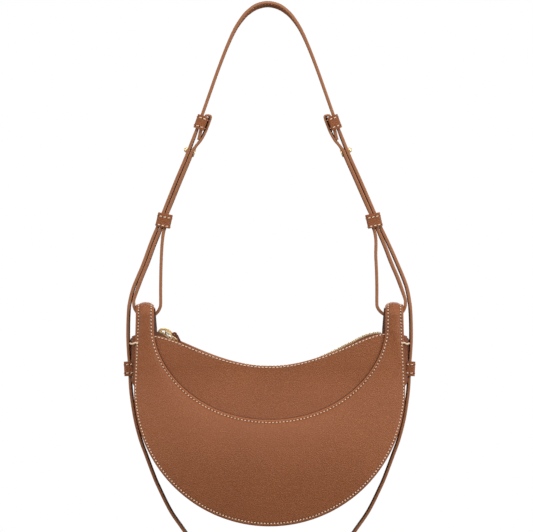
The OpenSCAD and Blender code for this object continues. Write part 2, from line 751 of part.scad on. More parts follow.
// A thin strip that stands off the gusset, with its ends folded in and sewn to it
module side_runner(side) {
    out = keeper_fit;
    foot_r = runner_t * 2;
    wall_x = horn_out_x - gusset_inset - side_line_x(runner_top_z);
    color(edge_leather) in_frame() on_side(side) difference() {
        translate([side_line_x(runner_top_z), 0, runner_top_z]) rotate([0, side_tilt, 0])
            rotate([90, 0, 0]) linear_extrude(strap_w, center = true) difference() {
                union() {
                    translate([-out - foot_r, -foot_r]) circle(foot_r);
                    translate([-out - foot_r, -runner_h + foot_r]) circle(foot_r);
                    translate([-out - foot_r, -runner_h + foot_r]) square([foot_r, runner_h - 2 * foot_r]);
                    translate([wall_x * 2, -runner_h]) square([-wall_x * 2 - out - foot_r, runner_h]);
                }
                translate([-out - foot_r, -foot_r]) circle(foot_r - runner_t);
                translate([-out - foot_r, -runner_h + foot_r]) circle(foot_r - runner_t);
                translate([wall_x * 2 - overrun, -runner_h + foot_r]) square([-wall_x * 2 + overrun - out - runner_t,
                    runner_h - 2 * foot_r]);
                translate([wall_x * 2 - overrun, -runner_h + runner_t]) square([-wall_x * 2 + overrun - out - foot_r,
                    runner_h - 2 * runner_t]);
            }
        front_view(both_halves(half_outline(gusset_inset, horn_top)));
    }
}

crescent(left);  // front_crescent
crescent(right);  // back_crescent
yoke(left);  // front_yoke
yoke(right);  // back_yoke
gusset();
horn_core(left);  // horn_core_left
horn_core(right);  // horn_core_right
horn_facing(left);  // horn_facing_left
horn_facing(right);  // horn_facing_right
board(left);  // front_board
board(right);  // back_board
lining();
slip_pocket();
zip_tape(left);  // zip_tape_front
zip_tape(right);  // zip_tape_back
zip_teeth(left);  // zip_teeth_front
zip_teeth(right);  // zip_teeth_back
zip_end(left);  // zip_end_left
zip_end(right);  // zip_end_right
zip_slider();
puller_link();
puller_tab();
shoulder_strap();
connector(left);  // connector_left
connector(right);  // connector_right
tail(left);  // tail_left
tail(right);  // tail_right
stud(left);  // stud_left
stud(right);  // stud_right
stud_base(left);  // stud_base_left
stud_base(right);  // stud_base_right
upper_keeper(left);  // upper_keeper_left
upper_keeper(right);  // upper_keeper_right
lower_keeper(left);  // lower_keeper_left
lower_keeper(right);  // lower_keeper_right
side_runner(left);  // side_runner_left
side_runner(right);  // side_runner_right
side_keeper(left);  // side_keeper_left
side_keeper(right);  // side_keeper_right
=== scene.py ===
import json
import math

import bmesh
import bpy
from mathutils import Matrix, Vector
from mathutils.kdtree import KDTree


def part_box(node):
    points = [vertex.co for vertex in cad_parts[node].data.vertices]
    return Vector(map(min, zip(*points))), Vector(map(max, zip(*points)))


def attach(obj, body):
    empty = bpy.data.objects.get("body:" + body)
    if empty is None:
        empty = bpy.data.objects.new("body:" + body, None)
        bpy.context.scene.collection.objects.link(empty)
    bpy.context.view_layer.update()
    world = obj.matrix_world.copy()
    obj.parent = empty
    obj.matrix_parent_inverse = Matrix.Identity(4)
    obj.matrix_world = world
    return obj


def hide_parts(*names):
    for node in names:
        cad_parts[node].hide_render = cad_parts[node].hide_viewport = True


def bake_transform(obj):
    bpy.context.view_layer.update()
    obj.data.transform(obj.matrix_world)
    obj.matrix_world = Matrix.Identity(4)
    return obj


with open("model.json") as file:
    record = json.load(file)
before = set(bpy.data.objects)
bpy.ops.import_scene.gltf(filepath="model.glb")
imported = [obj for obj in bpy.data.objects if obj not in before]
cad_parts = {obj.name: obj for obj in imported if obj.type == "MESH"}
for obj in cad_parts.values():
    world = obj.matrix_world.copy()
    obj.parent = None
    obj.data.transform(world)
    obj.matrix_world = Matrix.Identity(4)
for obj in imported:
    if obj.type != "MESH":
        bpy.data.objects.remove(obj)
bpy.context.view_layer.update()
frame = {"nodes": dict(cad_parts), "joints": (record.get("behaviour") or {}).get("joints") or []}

mm = 0.001
front, back = -1, 1
left, right = -1, 1
sideNames = {left: "left", right: "right"}
faceNames = {front: "front", back: "back"}

# The body's outline and the leather that its panels are cut from
body = {"mouthHalf": 14 * mm, "yokeDip": 32 * mm, "yokeUnder": 7 * mm, "sideLean": 1.6 * mm,
        "hornW": 17.5 * mm, "hornFoot": 6 * mm, "depthPower": 1.6}
panels = {"crescent": 1.8 * mm, "yoke": 1.6 * mm, "seamAbove": 1.6, "margin": 3 * mm, "rowShare": 0.92}

jointOf = {j["name"]: j for j in frame["joints"]}
tunnelZ = jointOf["bag_swing"]["pos_m"][2]
panelLow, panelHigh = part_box("front_crescent")
yokeLow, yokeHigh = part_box("front_yoke")
floorZ, halfW, hornTop = panelLow.z, panelHigh.x, panelHigh.z
centreZ = floorZ + halfW
baseHalf = -panelLow.y - panels["crescent"]
hornHalf = hornTop - tunnelZ - panels["crescent"]
yokeEndZ = yokeHigh.z
yokeLowZ = yokeEndZ - body["yokeDip"]
seamLowZ = yokeLow.z + body["yokeUnder"]
seamTopZ = yokeEndZ + panels["yoke"] * panels["seamAbove"]
hornOutX = halfW - body["sideLean"]
hornInX = hornOutX - body["hornW"]


def mix(a, b, t):
    return a + (b - a) * t


def smooth(low, high, x):
    t = min(max((x - low) / (high - low), 0), 1)
    return t * t * (3 - 2 * t)


def bezier(p, q, r, s, t):
    u = 1 - t
    return p * u ** 3 + q * 3 * t * u * u + r * 3 * t * t * u + s * t ** 3


def dip(x0, z0, low, starts, ends, t):
    return bezier(Vector((x0, z0)), Vector((x0 * starts[0], z0 - (z0 - low) * starts[1])),
                  Vector((x0 * ends, low)), Vector((0, low)), t)


def halfDepth(z):
    if z < yokeLowZ:
        rise = max(z - floorZ, 0) / (yokeLowZ - floorZ)
        return mix(body["mouthHalf"], baseHalf, (1 + math.cos(math.pi * rise ** body["depthPower"])) / 2)
    return mix(body["mouthHalf"], hornHalf, min((z - yokeLowZ) / (tunnelZ - yokeLowZ), 1))


def sideX(z):
    return halfW - body["sideLean"] * (z - centreZ) / (tunnelZ - centreZ)


def linkObject(name, mesh):
    obj = bpy.data.objects.new(name, mesh)
    bpy.context.scene.collection.objects.link(obj)
    return obj


def gridMesh(name, rows, materials, outward=None, closed=False, pick=None, caps=False, shadingRows=None):
    width = len(rows[0])
    faces, kinds = [], []
    for i in range(len(rows) - 1):
        for j in range(width if closed else width - 1):
            k = (j + 1) % width
            faces.append((i * width + j, i * width + k, (i + 1) * width + k, (i + 1) * width + j))
            kinds.append(pick(i, j) if pick else 0)
    if caps:
        faces += [tuple(range(width)), tuple((len(rows) - 1) * width + j for j in range(width))]
        kinds += [min(len(materials) - 1, 1)] * 2
    mesh = bpy.data.meshes.new(name)
    mesh.from_pydata([tuple(p) for row in rows for p in row], [], faces)
    for m in materials:
        mesh.materials.append(m)
    mesh.polygons.foreach_set("material_index", kinds)
    # Per-point painted shade (over 0) and painted highlight (under 0), kept in the fold attribute
    if shadingRows:
        fold = mesh.attributes.new("fold", "FLOAT", "POINT")
        fold.data.foreach_set("value", [f for row in shadingRows for f in row])
    mesh.shade_smooth()
    if closed or caps:
        bm = bmesh.new()
        bm.from_mesh(mesh)
        bmesh.ops.recalc_face_normals(bm, faces=bm.faces)
        bm.to_mesh(mesh)
        bm.free()
    elif outward and sum(f.normal.dot(outward(f.center)) * f.area for f in mesh.polygons) < 0:
        mesh.flip_normals()
    return linkObject(name, mesh)


def bevelled(obj, width, segments, angle):
    soft = obj.modifiers.new("edges", "BEVEL")
    soft.width, soft.segments = width, segments
    soft.limit_method, soft.angle_limit = "ANGLE", math.radians(angle)
    return soft


def thicken(obj, thick, rim=1, bevel=0.45 * mm):
    solid = obj.modifiers.new("thickness", "SOLIDIFY")
    solid.thickness, solid.offset, solid.use_even_offset = thick, -1, True
    solid.material_offset_rim = rim
    bevelled(obj, bevel, 2, 50)


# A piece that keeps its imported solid's form, with its edges eased and, where given, its points moved
cleanUp = {"join": 0.004 * mm, "flat": math.radians(0.6), "sharp": 35}


def refined(node, name, material, bevel, segments=3, rideOn=None, shape=None):
    mesh = frame["nodes"][node].data.copy()
    mesh.name = name
    bm = bmesh.new()
    bm.from_mesh(mesh)
    bmesh.ops.remove_doubles(bm, verts=bm.verts, dist=cleanUp["join"])
    bm.normal_update()
    moved = [shape(v.co.copy(), v.normal.copy()) for v in bm.verts] if shape else []
    for vertex, place in zip(bm.verts, moved):
        vertex.co = place
    bm.normal_update()
    bmesh.ops.dissolve_limit(bm, angle_limit=cleanUp["flat"], verts=bm.verts, edges=bm.edges)
    bm.to_mesh(mesh)
    bm.free()
    mesh.materials.clear()
    mesh.materials.append(material)
    mesh.polygons.foreach_set("material_index", [0] * len(mesh.polygons))
    mesh.shade_smooth()
    mesh.set_sharp_from_angle(angle=math.radians(cleanUp["sharp"]))
    obj = linkObject(name, mesh)
    if bevel:
        bevelled(obj, bevel, segments, cleanUp["sharp"]).harden_normals = True
    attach(obj, rideOn or node)
    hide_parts(node)


# Shader groups: each gives a colour, a roughness and a normal, and the material keeps its own shader
def newGroup(name, inputs, outputs=("Color", "Roughness", "Normal")):
    group = bpy.data.node_groups.new(name, "ShaderNodeTree")
    kinds = {"Color": "NodeSocketColor", "Roughness": "NodeSocketFloat", "Normal": "NodeSocketVector"}
    for label, kind, value in inputs:
        socket = group.interface.new_socket(label, in_out="INPUT", socket_type=kind)
        socket.default_value = value
    for label in outputs:
        group.interface.new_socket(label, in_out="OUTPUT", socket_type=kinds[label])
    return group, group.nodes.new("NodeGroupInput"), group.nodes.new("NodeGroupOutput")


def addNode(tree, kind, links=(), **settings):
    node = tree.nodes.new(kind)
    for key, value in settings.items():
        setattr(node, key, value)
    for socket, source in links:
        if hasattr(source, "default_value") or hasattr(source, "is_linked"):
            tree.links.new(source, node.inputs[socket])
        else:
            node.inputs[socket].default_value = source
    return node


def mathNode(tree, operation, a, b=0.5, clamp=False):
    return addNode(tree, "ShaderNodeMath", [(0, a), (1, b)], operation=operation, use_clamp=clamp).outputs[0]


def mixColour(tree, factor, a, b):
    node = addNode(tree, "ShaderNodeMix", [(0, factor), (6, a), (7, b)], data_type="RGBA")
    return node.outputs[2]


def texture(tree, kind, place, scale, detail=None, **settings):
    links = [("Vector", place), ("Scale", scale)] + ([("Detail", detail)] if detail else [])
    return addNode(tree, "ShaderNodeTex" + kind, links, **settings).outputs


def vectorNode(tree, operation, a, b):
    return addNode(tree, "ShaderNodeVectorMath", [(0, a), (1, b)], operation=operation).outputs[0]


def bumpNode(tree, given, height, distance):
    links = [("Strength", given.outputs["Relief"]), ("Height", height), ("Distance", distance)]
    return addNode(tree, "ShaderNodeBump", links).outputs[0]


def putOut(tree, result, colour, roughness, normal):
    for label, source in (("Color", colour), ("Roughness", roughness), ("Normal", normal)):
        tree.links.new(source, result.inputs[label])
    return tree


colourInputs = [("Base Color", "NodeSocketColor", (0.5, 0.3, 0.2, 1)),
                ("Deep Color", "NodeSocketColor", (0.2, 0.1, 0.05, 1)),
                ("Grain", "NodeSocketFloat", 1.2 * mm), ("Relief", "NodeSocketFloat", 0.4),
                ("Fold", "NodeSocketFloat", 0.0)]
# The last two tints are those of the painted shade and the painted highlight
pebbled = {"warp": 260.0, "shift": (0.0011, 0.0011, 0.0011), "valley": 0.28, "fine": 2.7, "cloud": 19.0,
           "pressed": (0.42, 0.34, 0.28), "rubbed": (1.35, 1.35, 1.35)}


# Pebbled leather, darkened by painted shade where its shading input is over 0 and lightened by a painted
# highlight where it is under 0
def leatherGroup():
    tree, given, result = newGroup("leatherGrain", colourInputs)
    base, deep, fold = (given.outputs[label] for label in ("Base Color", "Deep Color", "Fold"))
    place = addNode(tree, "ShaderNodeTexCoord").outputs["Object"]
    density = mathNode(tree, "DIVIDE", 1.0, given.outputs["Grain"])
    warp = texture(tree, "Noise", place, pebbled["warp"], 2.0)["Color"]
    moved = vectorNode(tree, "ADD", place, vectorNode(tree, "MULTIPLY", warp, pebbled["shift"]))
    pebble = texture(tree, "Voronoi", moved, density, feature="DISTANCE_TO_EDGE")["Distance"]
    raised = addNode(tree, "ShaderNodeMapRange", [(0, pebble), (1, 0.0), (2, pebbled["valley"])],
                     interpolation_type="SMOOTHSTEP").outputs[0]
    fine = texture(tree, "Noise", place, mathNode(tree, "MULTIPLY", density, pebbled["fine"]), 3.0)["Fac"]
    pebbles, pores = mathNode(tree, "MULTIPLY", raised, 0.75), mathNode(tree, "MULTIPLY", fine, 0.45)
    height = mathNode(tree, "ADD", pebbles, pores)
    bump = bumpNode(tree, given, height, mathNode(tree, "MULTIPLY", given.outputs["Grain"], 0.16))
    broad = texture(tree, "Noise", place, pebbled["cloud"], 3.0)["Fac"]
    speckle = mathNode(tree, "MULTIPLY", mathNode(tree, "SUBTRACT", 1.0, height, True), 0.42)
    cloud = mathNode(tree, "MULTIPLY", mathNode(tree, "SUBTRACT", broad, 0.38, True), 0.55)
    grained = mixColour(tree, mathNode(tree, "ADD", speckle, cloud, True), base, deep)
    # The painted shade's colour and the painted highlight's colour, mixed in by the shading value
    pressed = vectorNode(tree, "MULTIPLY", deep, pebbled["pressed"])
    rubbed = vectorNode(tree, "MULTIPLY", base, pebbled["rubbed"])
    highlight = mixColour(tree, mathNode(tree, "MULTIPLY", fold, -1.0, True), grained, rubbed)
    colour = mixColour(tree, mathNode(tree, "MULTIPLY", fold, 1.0, True), highlight, pressed)
    roughness = mathNode(tree, "ADD", mathNode(tree, "MULTIPLY", fine, 0.16), 0.44)
    return putOut(tree, result, colour, roughness, bump)


def metalGroup():
    tree, given, result = newGroup("polishedMetal", colourInputs)
    place = addNode(tree, "ShaderNodeTexCoord").outputs["Object"]
    cloud = texture(tree, "Noise", place, 420.0, 4.0)["Fac"]
    bump = bumpNode(tree, given, texture(tree, "Noise", place, 2600.0, 2.0)["Fac"], 0.02 * mm)
    shade = mathNode(tree, "MULTIPLY", cloud, 0.5)
    colour = mixColour(tree, shade, given.outputs["Base Color"], given.outputs["Deep Color"])
    roughness = mathNode(tree, "ADD", mathNode(tree, "MULTIPLY", cloud, 0.14), 0.30)
    return putOut(tree, result, colour, roughness, bump)


def weaveGroup():
    tree, given, result = newGroup("wovenThread", colourInputs)
    place = addNode(tree, "ShaderNodeTexCoord").outputs["Object"]
    density = mathNode(tree, "DIVIDE", 0.5, given.outputs["Grain"])
    waves = [addNode(tree, "ShaderNodeTexWave", [("Vector", place), ("Scale", density), ("Distortion", 1.2)],
                     bands_direction=way).outputs["Fac"] for way in ("X", "Z")]
    height = mathNode(tree, "MULTIPLY", mathNode(tree, "ADD", waves[0], waves[1]), 0.5)
    bump = bumpNode(tree, given, height, mathNode(tree, "MULTIPLY", given.outputs["Grain"], 0.3))
    shade = mathNode(tree, "SUBTRACT", 1.0, height, True)
    colour = mixColour(tree, shade, given.outputs["Base Color"], given.outputs["Deep Color"])
    roughness = mathNode(tree, "ADD", mathNode(tree, "MULTIPLY", height, 0.1), 0.7)
    return putOut(tree, result, colour, roughness, bump)


def makeMaterial(name, group, look, **shader):
    material = bpy.data.materials.new(name)
    material.use_nodes = True
    tree = material.node_tree
    principled = tree.nodes["Principled BSDF"]
    for socket, value in shader.items():
        principled.inputs[socket.replace("_", " ")].default_value = value
    used = addNode(tree, "ShaderNodeGroup", node_tree=group)
    used.inputs["Base Color"].default_value = (*look["base"], 1)
    used.inputs["Deep Color"].default_value = (*look["deep"], 1)
    used.inputs["Grain"].default_value = look["grain"]
    used.inputs["Relief"].default_value = look["relief"]
    if group.name == "leatherGrain":
        # The fold attribute brings in the mesh's painted shade and painted highlight
        fold = addNode(tree, "ShaderNodeAttribute", attribute_name="fold")
        tree.links.new(fold.outputs["Fac"], used.inputs["Fold"])
    for given, taken in (("Color", "Base Color"), ("Roughness", "Roughness"), ("Normal", "Normal")):
        tree.links.new(used.outputs[given], principled.inputs[taken])
    return material


# Colours: base and deep are the light and the dark of each finish
tan = {"base": (0.315, 0.102, 0.034), "deep": (0.185, 0.050, 0.015), "grain": 1.7 * mm, "relief": 0.8}
darkTan = {"base": (0.170, 0.048, 0.016), "deep": (0.095, 0.024, 0.008), "grain": 1.1 * mm, "relief": 0.35}
# The gusset and the horns' outer sides: the tan leather darkened by painted shade
gussetShadeTan = {"base": (0.235, 0.073, 0.025), "deep": (0.130, 0.034, 0.011), "grain": 1.2 * mm, "relief": 0.4}
# Near-black painted shade for the horns' inner facings and the long strap's inner faces
shadeTan = {"base": (0.075, 0.019, 0.006), "deep": (0.040, 0.009, 0.003), "grain": 1.1 * mm, "relief": 0.3}
edgePaint = {"base": (0.370, 0.150, 0.066), "deep": (0.270, 0.100, 0.040), "grain": 2.6 * mm, "relief": 0.10}
# Near-black painted shade on flat caps that stand for the needle holes
holeShade = {"base": (0.055, 0.012, 0.004), "deep": (0.030, 0.006, 0.002), "grain": 2 * mm, "relief": 0.1}
thread = {"base": (0.92, 0.72, 0.53), "deep": (0.74, 0.50, 0.33), "grain": 0.35 * mm, "relief": 0.4}
gold = {"base": (0.97, 0.78, 0.45), "deep": (0.84, 0.58, 0.27), "grain": 1.2 * mm, "relief": 0.15}
cloth = {"base": (0.48, 0.34, 0.22), "deep": (0.36, 0.24, 0.15), "grain": 0.5 * mm, "relief": 0.3}
tape = {"base": (0.190, 0.068, 0.028), "deep": (0.110, 0.036, 0.015), "grain": 0.5 * mm, "relief": 0.4}
board = {"base": (0.42, 0.30, 0.20), "deep": (0.34, 0.24, 0.16), "grain": 1.5 * mm, "relief": 0.1}

grainTree, metalTree, weaveTree = leatherGroup(), metalGroup(), weaveGroup()
leatherMat = makeMaterial("tanLeather", grainTree, tan, Specular_IOR_Level=0.36)
darkMat = makeMaterial("darkLeather", grainTree, darkTan, Specular_IOR_Level=0.4)
gussetShadeMat = makeMaterial("gussetLeather", grainTree, gussetShadeTan, Specular_IOR_Level=0.36)
shadeMat = makeMaterial("facingLeather", grainTree, shadeTan, Specular_IOR_Level=0.3)
paintMat = makeMaterial("edgePaint", grainTree, edgePaint, Specular_IOR_Level=0.45)
holeShadeMat = makeMaterial("needleHole", grainTree, holeShade, Specular_IOR_Level=0.1)
threadMat = makeMaterial("creamThread", weaveTree, thread, Sheen_Weight=0.3)
goldMat = makeMaterial("paleGold", metalTree, gold, Metallic=0.7)
clothMat = makeMaterial("liningCloth", weaveTree, cloth)
tapeMat = makeMaterial("zipTape", weaveTree, tape)
boardMat = makeMaterial("fibreBoard", weaveTree, board)
print("materials made")


# Stitches: rows of short swollen threads that dive into the leather at both ends
stitch = {"pitch": 3.15 * mm, "seamPitch": 3.5 * mm, "panelPitch": 3.395 * mm, "radius": 0.55 * mm,
          "share": 0.62, "slant": 0.14, "sides": 6, "flat": 0.8, "hole": 0.46 * mm, "holeLift": 0.03 * mm,
          "holeLong": 1.1}
# Each ring of a stitch: where it lies along the thread, its share of the radius and how high it lies
stitchRings = ((-0.5, 0.3, -0.9), (-0.33, 0.95, 0.3), (0, 1, 0.42), (0.33, 0.95, 0.3), (0.5, 0.3, -0.9))


def turnAngles(count):
    return [2 * math.pi * k / count for k in range(count)]


# A flat cap of painted shade laid over a needle hole
def addHole(bm, centre, along, up, radius):
    across = up.cross(along).normalized()
    rim = [bm.verts.new(centre + up * stitch["holeLift"]
                        + (along * math.cos(a) * stitch["holeLong"] + across * math.sin(a)) * radius)
           for a in turnAngles(8)]
    cap = bm.faces.new(rim)
    cap.normal_update()
    if cap.normal.dot(up) < 0:
        cap.normal_flip()
    cap.material_index = 1


def addStitch(bm, centre, along, up, length, radius):
    across = up.cross(along).normalized()
    along = (along + across * stitch["slant"]).normalized()
    across = up.cross(along).normalized()
    rings, sides = [], stitch["sides"]
    for at, girth, lift in stitchRings:
        middle = centre + along * (at * length) + up * (lift * radius)
        rings.append([bm.verts.new(middle + (across * math.cos(a) + up * math.sin(a) * stitch["flat"])
                                   * radius * girth) for a in turnAngles(sides)])
    for lower, upper in zip(rings, rings[1:]):
        for k in range(sides):
            m = (k + 1) % sides
            bm.faces.new((lower[k], lower[m], upper[m], upper[k]))
    bm.faces.new(rings[0][::-1])
    bm.faces.new(rings[-1])


def sew(bm, samples, pitch=None, radius=None, share=None, hole=None):
    pitch = pitch or stitch["pitch"]
    hole = stitch["hole"] if hole is None else hole
    length = sum((q[0] - p[0]).length for p, q in zip(samples, samples[1:]))
    count = max(round(length / pitch), 1)
    pitch = length / count
    travelled, due = 0.0, pitch / 2
    for (p, n), (q, m) in zip(samples, samples[1:]):
        step = (q - p).length
        while step > 0 and due <= travelled + step:
            t = (due - travelled) / step
            place, way, up = p.lerp(q, t), (q - p).normalized(), n.lerp(m, t).normalized()
            addStitch(bm, place, way, up, pitch * (share or stitch["share"]), radius or stitch["radius"])
            if hole:
                addHole(bm, place + way * pitch / 2, way, up, hole)
            due += pitch
        travelled += step


def sewn(bm, name):
    mesh = bpy.data.meshes.new(name)
    bmesh.ops.recalc_face_normals(bm, faces=[f for f in bm.faces if f.material_index == 0])
    bm.to_mesh(mesh)
    bm.free()
    mesh.materials.append(threadMat)
    mesh.materials.append(holeShadeMat)
    mesh.shade_smooth()
    return linkObject(name, mesh)


# The crescent panels: q runs from the bottom's middle (0) to a horn's tunnel (1) and, in front, over its top
# (2), and v from the inner seam (0) to the outer edge (1)
crescent = {"puff": 5.8 * mm, "puffFrom": 12 * mm, "puffOver": 95 * mm, "puffLow": 0.58, "puffRound": 0.9,
            "hornPuff": 2.1 * mm, "hornBlend": (0.12, 0.05), "puffEnd": 1.3, "domeAt": 0.45, "domeHalf": 0.37,
            "domeRound": 0.7, "shoulderDrop": 1.9 * mm, "shoulderRound": 0.7, "cornerDrop": 0.6 * mm,
            "cornerShare": 0.14, "edgeRoll": 0.9 * mm, "edgeRollW": 1.5 * mm, "groove": 0.3 * mm,
            "grooveW": 0.7 * mm, "bevel": 0.4 * mm, "rowEnd": 0.985, "alongSteps": 150, "acrossSteps": 22}
# How dark the painted shade along the seam's stitch groove is and how bright the painted highlight along the
# edges is, with how far each reaches
crescentShadeLight = {"seam": 0.34, "seamW": 0.8 * mm, "edge": 0.45, "edgeAt": 0.7 * mm, "edgeW": 0.75 * mm, "outer": 0.4}
quarter = math.pi / 2 * halfW
outerLen = quarter + math.hypot(tunnelZ - centreZ, body["sideLean"])
hornFrom = 0.80
outerHornLen = quarter + yokeEndZ - body["hornFoot"] - centreZ
seamStarts, seamEnd = (0.997, 0.403), 0.639
mouthStarts, mouthEnd = (0.775, 0.063), 0.45
seamRow = panels["margin"] * panels["rowShare"]
edgeSteps = [d * mm for d in (0, 0.3, 0.7, 1.15, 1.6, 2.05, 2.4, 2.76, 3.15, 3.6, 4.2)]


def outerAt(length, inset=0.0):
    if length < quarter:
        a = length / halfW - math.pi / 2
        r = halfW - inset
        return Vector((r * math.cos(a), centreZ + r * math.sin(a)))
    z = centreZ + (length - quarter)
    return Vector((sideX(z) - inset, z))


def crescentEdges(q):
    if q < hornFrom:
        f = q / hornFrom
        return dip(hornInX, seamTopZ, seamLowZ, seamStarts, seamEnd, 1 - f), outerAt(outerHornLen * f)
    f = (q - hornFrom) / (1 - hornFrom)
    return Vector((hornInX, mix(seamTopZ, tunnelZ, f))), outerAt(mix(outerHornLen, outerLen, f))


def domeShape(v):
    return max(1 - ((v - crescent["domeAt"]) / crescent["domeHalf"]) ** 2, 0) ** crescent["domeRound"]


def puff(q, v, width):
    flat = panels["margin"] / width
    s = min(max((v - flat) / (1 - 2 * flat), 0), 1)
    full = math.sin(math.pi * s ** crescent["puffLow"]) ** crescent["puffRound"] * crescent["puff"]
    full *= smooth(0, crescent["puffOver"], width - crescent["puffFrom"])
    before, after = crescent["hornBlend"]
    return mix(full, domeShape(v) * crescent["hornPuff"], smooth(hornFrom - before, hornFrom + after, q))


def crescentPoint(q, v, face):
    sign, q = (-1 if q < 0 else 1), abs(q)
    inner, outer = crescentEdges(min(q, 1))
    place = inner.lerp(outer, v)
    width = (outer - inner).length
    near = min(v, 1 - v) * width
    pressed = crescent["edgeRoll"] * max(1 - near / crescent["edgeRollW"], 0) ** 2
    pressed += crescent["groove"] * math.exp(-((near - seamRow) / crescent["grooveW"]) ** 2)
    swell = puff(min(q, 1), v, width) * (1 - smooth(1, crescent["puffEnd"], q))
    grown = panels["crescent"] + swell - pressed
    if q <= 1:
        return Vector((sign * place.x, face * (halfDepth(place.y) + grown), place.y))
    turn = (q - 1) * math.pi
    over = math.sin(turn)
    corner = max(1 - min(v, 1 - v) / crescent["cornerShare"], 0) ** 2 * crescent["cornerDrop"]
    shoulder = ((1 - domeShape(v)) * crescent["shoulderDrop"] + corner) * over ** crescent["shoulderRound"]
    r = hornHalf + grown - shoulder
    return Vector((sign * place.x, face * r * math.cos(turn), tunnelZ + r * over))


def crescentSample(q, v, face):
    step = 0.004
    p = crescentPoint(q, v, face)
    along = crescentPoint(q + step, v, face) - crescentPoint(q - step, v, face)
    across = crescentPoint(q, min(v + step, 1), face) - crescentPoint(q, max(v - step, 0), face)
    normal = along.cross(across).normalized()
    middle = Vector((p.x, 0, min(p.z, tunnelZ)))
    return p, normal if normal.dot(p - middle) > 0 else -normal


def crescentShares(q):
    inner, outer = crescentEdges(min(abs(q), 1))
    edge = [d / (outer - inner).length for d in edgeSteps]
    steps = crescent["acrossSteps"]
    middle = [mix(edge[-1], 1 - edge[-1], (1 - math.cos(math.pi * i / steps)) / 2) for i in range(1, steps)]
    return edge + middle + [1 - d for d in edge[::-1]]


# Painted shade along the stitch row's groove, less a painted highlight along the panel's edges
def crescentShading(q, v):
    inner, outer = crescentEdges(min(abs(q), 1))
    near = min(v, 1 - v) * (outer - inner).length
    dark = crescentShadeLight["seam"] * math.exp(-((near - seamRow) / crescentShadeLight["seamW"]) ** 2)
    highlight = crescentShadeLight["edge"] * math.exp(-((near - crescentShadeLight["edgeAt"]) / crescentShadeLight["edgeW"]) ** 2)
    return dark - highlight * (1 if v < 0.5 else crescentShadeLight["outer"])


def seamSamples(face, topQ, inner, steps=400):
    samples = []
    for i in range(steps + 1):
        q = mix(-topQ, topQ, i / steps)
        a, b = crescentEdges(min(abs(q), 1))
        share = seamRow / (b - a).length
        samples.append(crescentSample(q, share if inner else 1 - share, face))
    return samples


def makeCrescent(face):
    name, limit = faceNames[face] + "_crescent", 2 if face == front else 1
    steps = crescent["alongSteps"]
    qs = [limit * i / steps for i in range(-steps, steps + 1)]
    shares = [crescentShares(q) for q in qs]
    rows = [[crescentPoint(q, v, face) for v in vs] for q, vs in zip(qs, shares)]
    shadingRows = [[crescentShading(q, v) for v in vs] for q, vs in zip(qs, shares)]
    obj = gridMesh(name + "_panel", rows, [leatherMat, paintMat],
                   lambda c: Vector((0, c.y, max(c.z - tunnelZ, 0))), shadingRows=shadingRows)
    thicken(obj, panels["crescent"], bevel=crescent["bevel"])
    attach(obj, "bag")
    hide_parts(name)
    bm = bmesh.new()
    topQ = limit * crescent["rowEnd"]
    sew(bm, seamSamples(face, topQ, True), stitch["panelPitch"])
    sew(bm, seamSamples(face, topQ, False), stitch["pitch"])
    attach(sewn(bm, name + "_stitches"), "bag")


# The yokes, from their turned top edge down under the crescents: u runs from side to side and v from top to
# foot. The front one's left end lies a little lower.
# hidden, seam and near set the painted shade under the crescent and towards the seam
yoke = {"puff": 0.8 * mm, "puffEnd": 1.12, "puffFull": 0.55, "edgeRoll": 0.9 * mm, "edgeRollW": 1.6 * mm,
        "leftDrop": 2.3 * mm, "footIn": 0.9 * mm, "rowDrop": 1.5 * mm, "rowEnd": 0.995, "threadR": 0.85,
        "threadShare": 0.78, "hole": 0.7, "hidden": 0.8, "seam": 0.68, "seamW": 0.8 * mm, "near": 0.1,
        "nearW": 6 * mm, "skive": 0.9, "alongSteps": 90, "downSteps": 96,
        "edgeShares": [0, 0.006, 0.014, 0.024, 0.04]}


def yokePoint(u, v, face):
    sign, t = (-1 if u < 0 else 1), 1 - abs(u)
    endZ = yokeEndZ - (yoke["leftDrop"] if (face, sign) == (front, left) else 0)
    top = dip(hornInX, endZ, yokeLowZ, mouthStarts, mouthEnd, t)
    foot = dip(hornInX + panels["yoke"] + yoke["footIn"], yokeEndZ - body["yokeUnder"],
               seamLowZ - body["yokeUnder"], seamStarts, seamEnd, t)
    place = top.lerp(foot, v)
    bulge = math.sin(math.pi * min(v * yoke["puffEnd"], 1)) * yoke["puff"]
    bulge *= smooth(1, yoke["puffFull"], abs(u))
    roll = yoke["edgeRoll"] * max(1 - v * (top - foot).length / yoke["edgeRollW"], 0) ** 2
    return Vector((sign * place.x, face * (halfDepth(place.y) + bulge - roll), place.y))


def yokeSample(u, drop, face, aside=0.01, down=0.03):
    top, foot = yokePoint(u, 0, face), yokePoint(u, 1, face)
    v = drop / (top - foot).length
    p, q = yokePoint(u, v, face), yokePoint(u, v + down, face)
    along = yokePoint(u + aside, v, face) - yokePoint(u - aside, v, face)
    normal = along.cross(q - p).normalized()
    return p, normal if normal.y * face > 0 else -normal


seamLine = [crescentEdges(hornFrom * i / 400)[0] for i in range(401)]
seamTree = KDTree(len(seamLine))
for i, p in enumerate(seamLine):
    seamTree.insert((p.x, 0, p.y), i)
seamTree.balance()


# A yoke gets its darkest painted shade where it is hidden under the crescent, and a little painted shade
# towards the seam
def yokeShading(p):
    nearest, _, gap = seamTree.find((abs(p.x), 0, p.z))
    if p.z < nearest[2]:
        return yoke["hidden"]
    seam, near = math.exp(-(gap / yoke["seamW"]) ** 2), math.exp(-gap / yoke["nearW"])
    return yoke["seam"] * seam + yoke["near"] * near


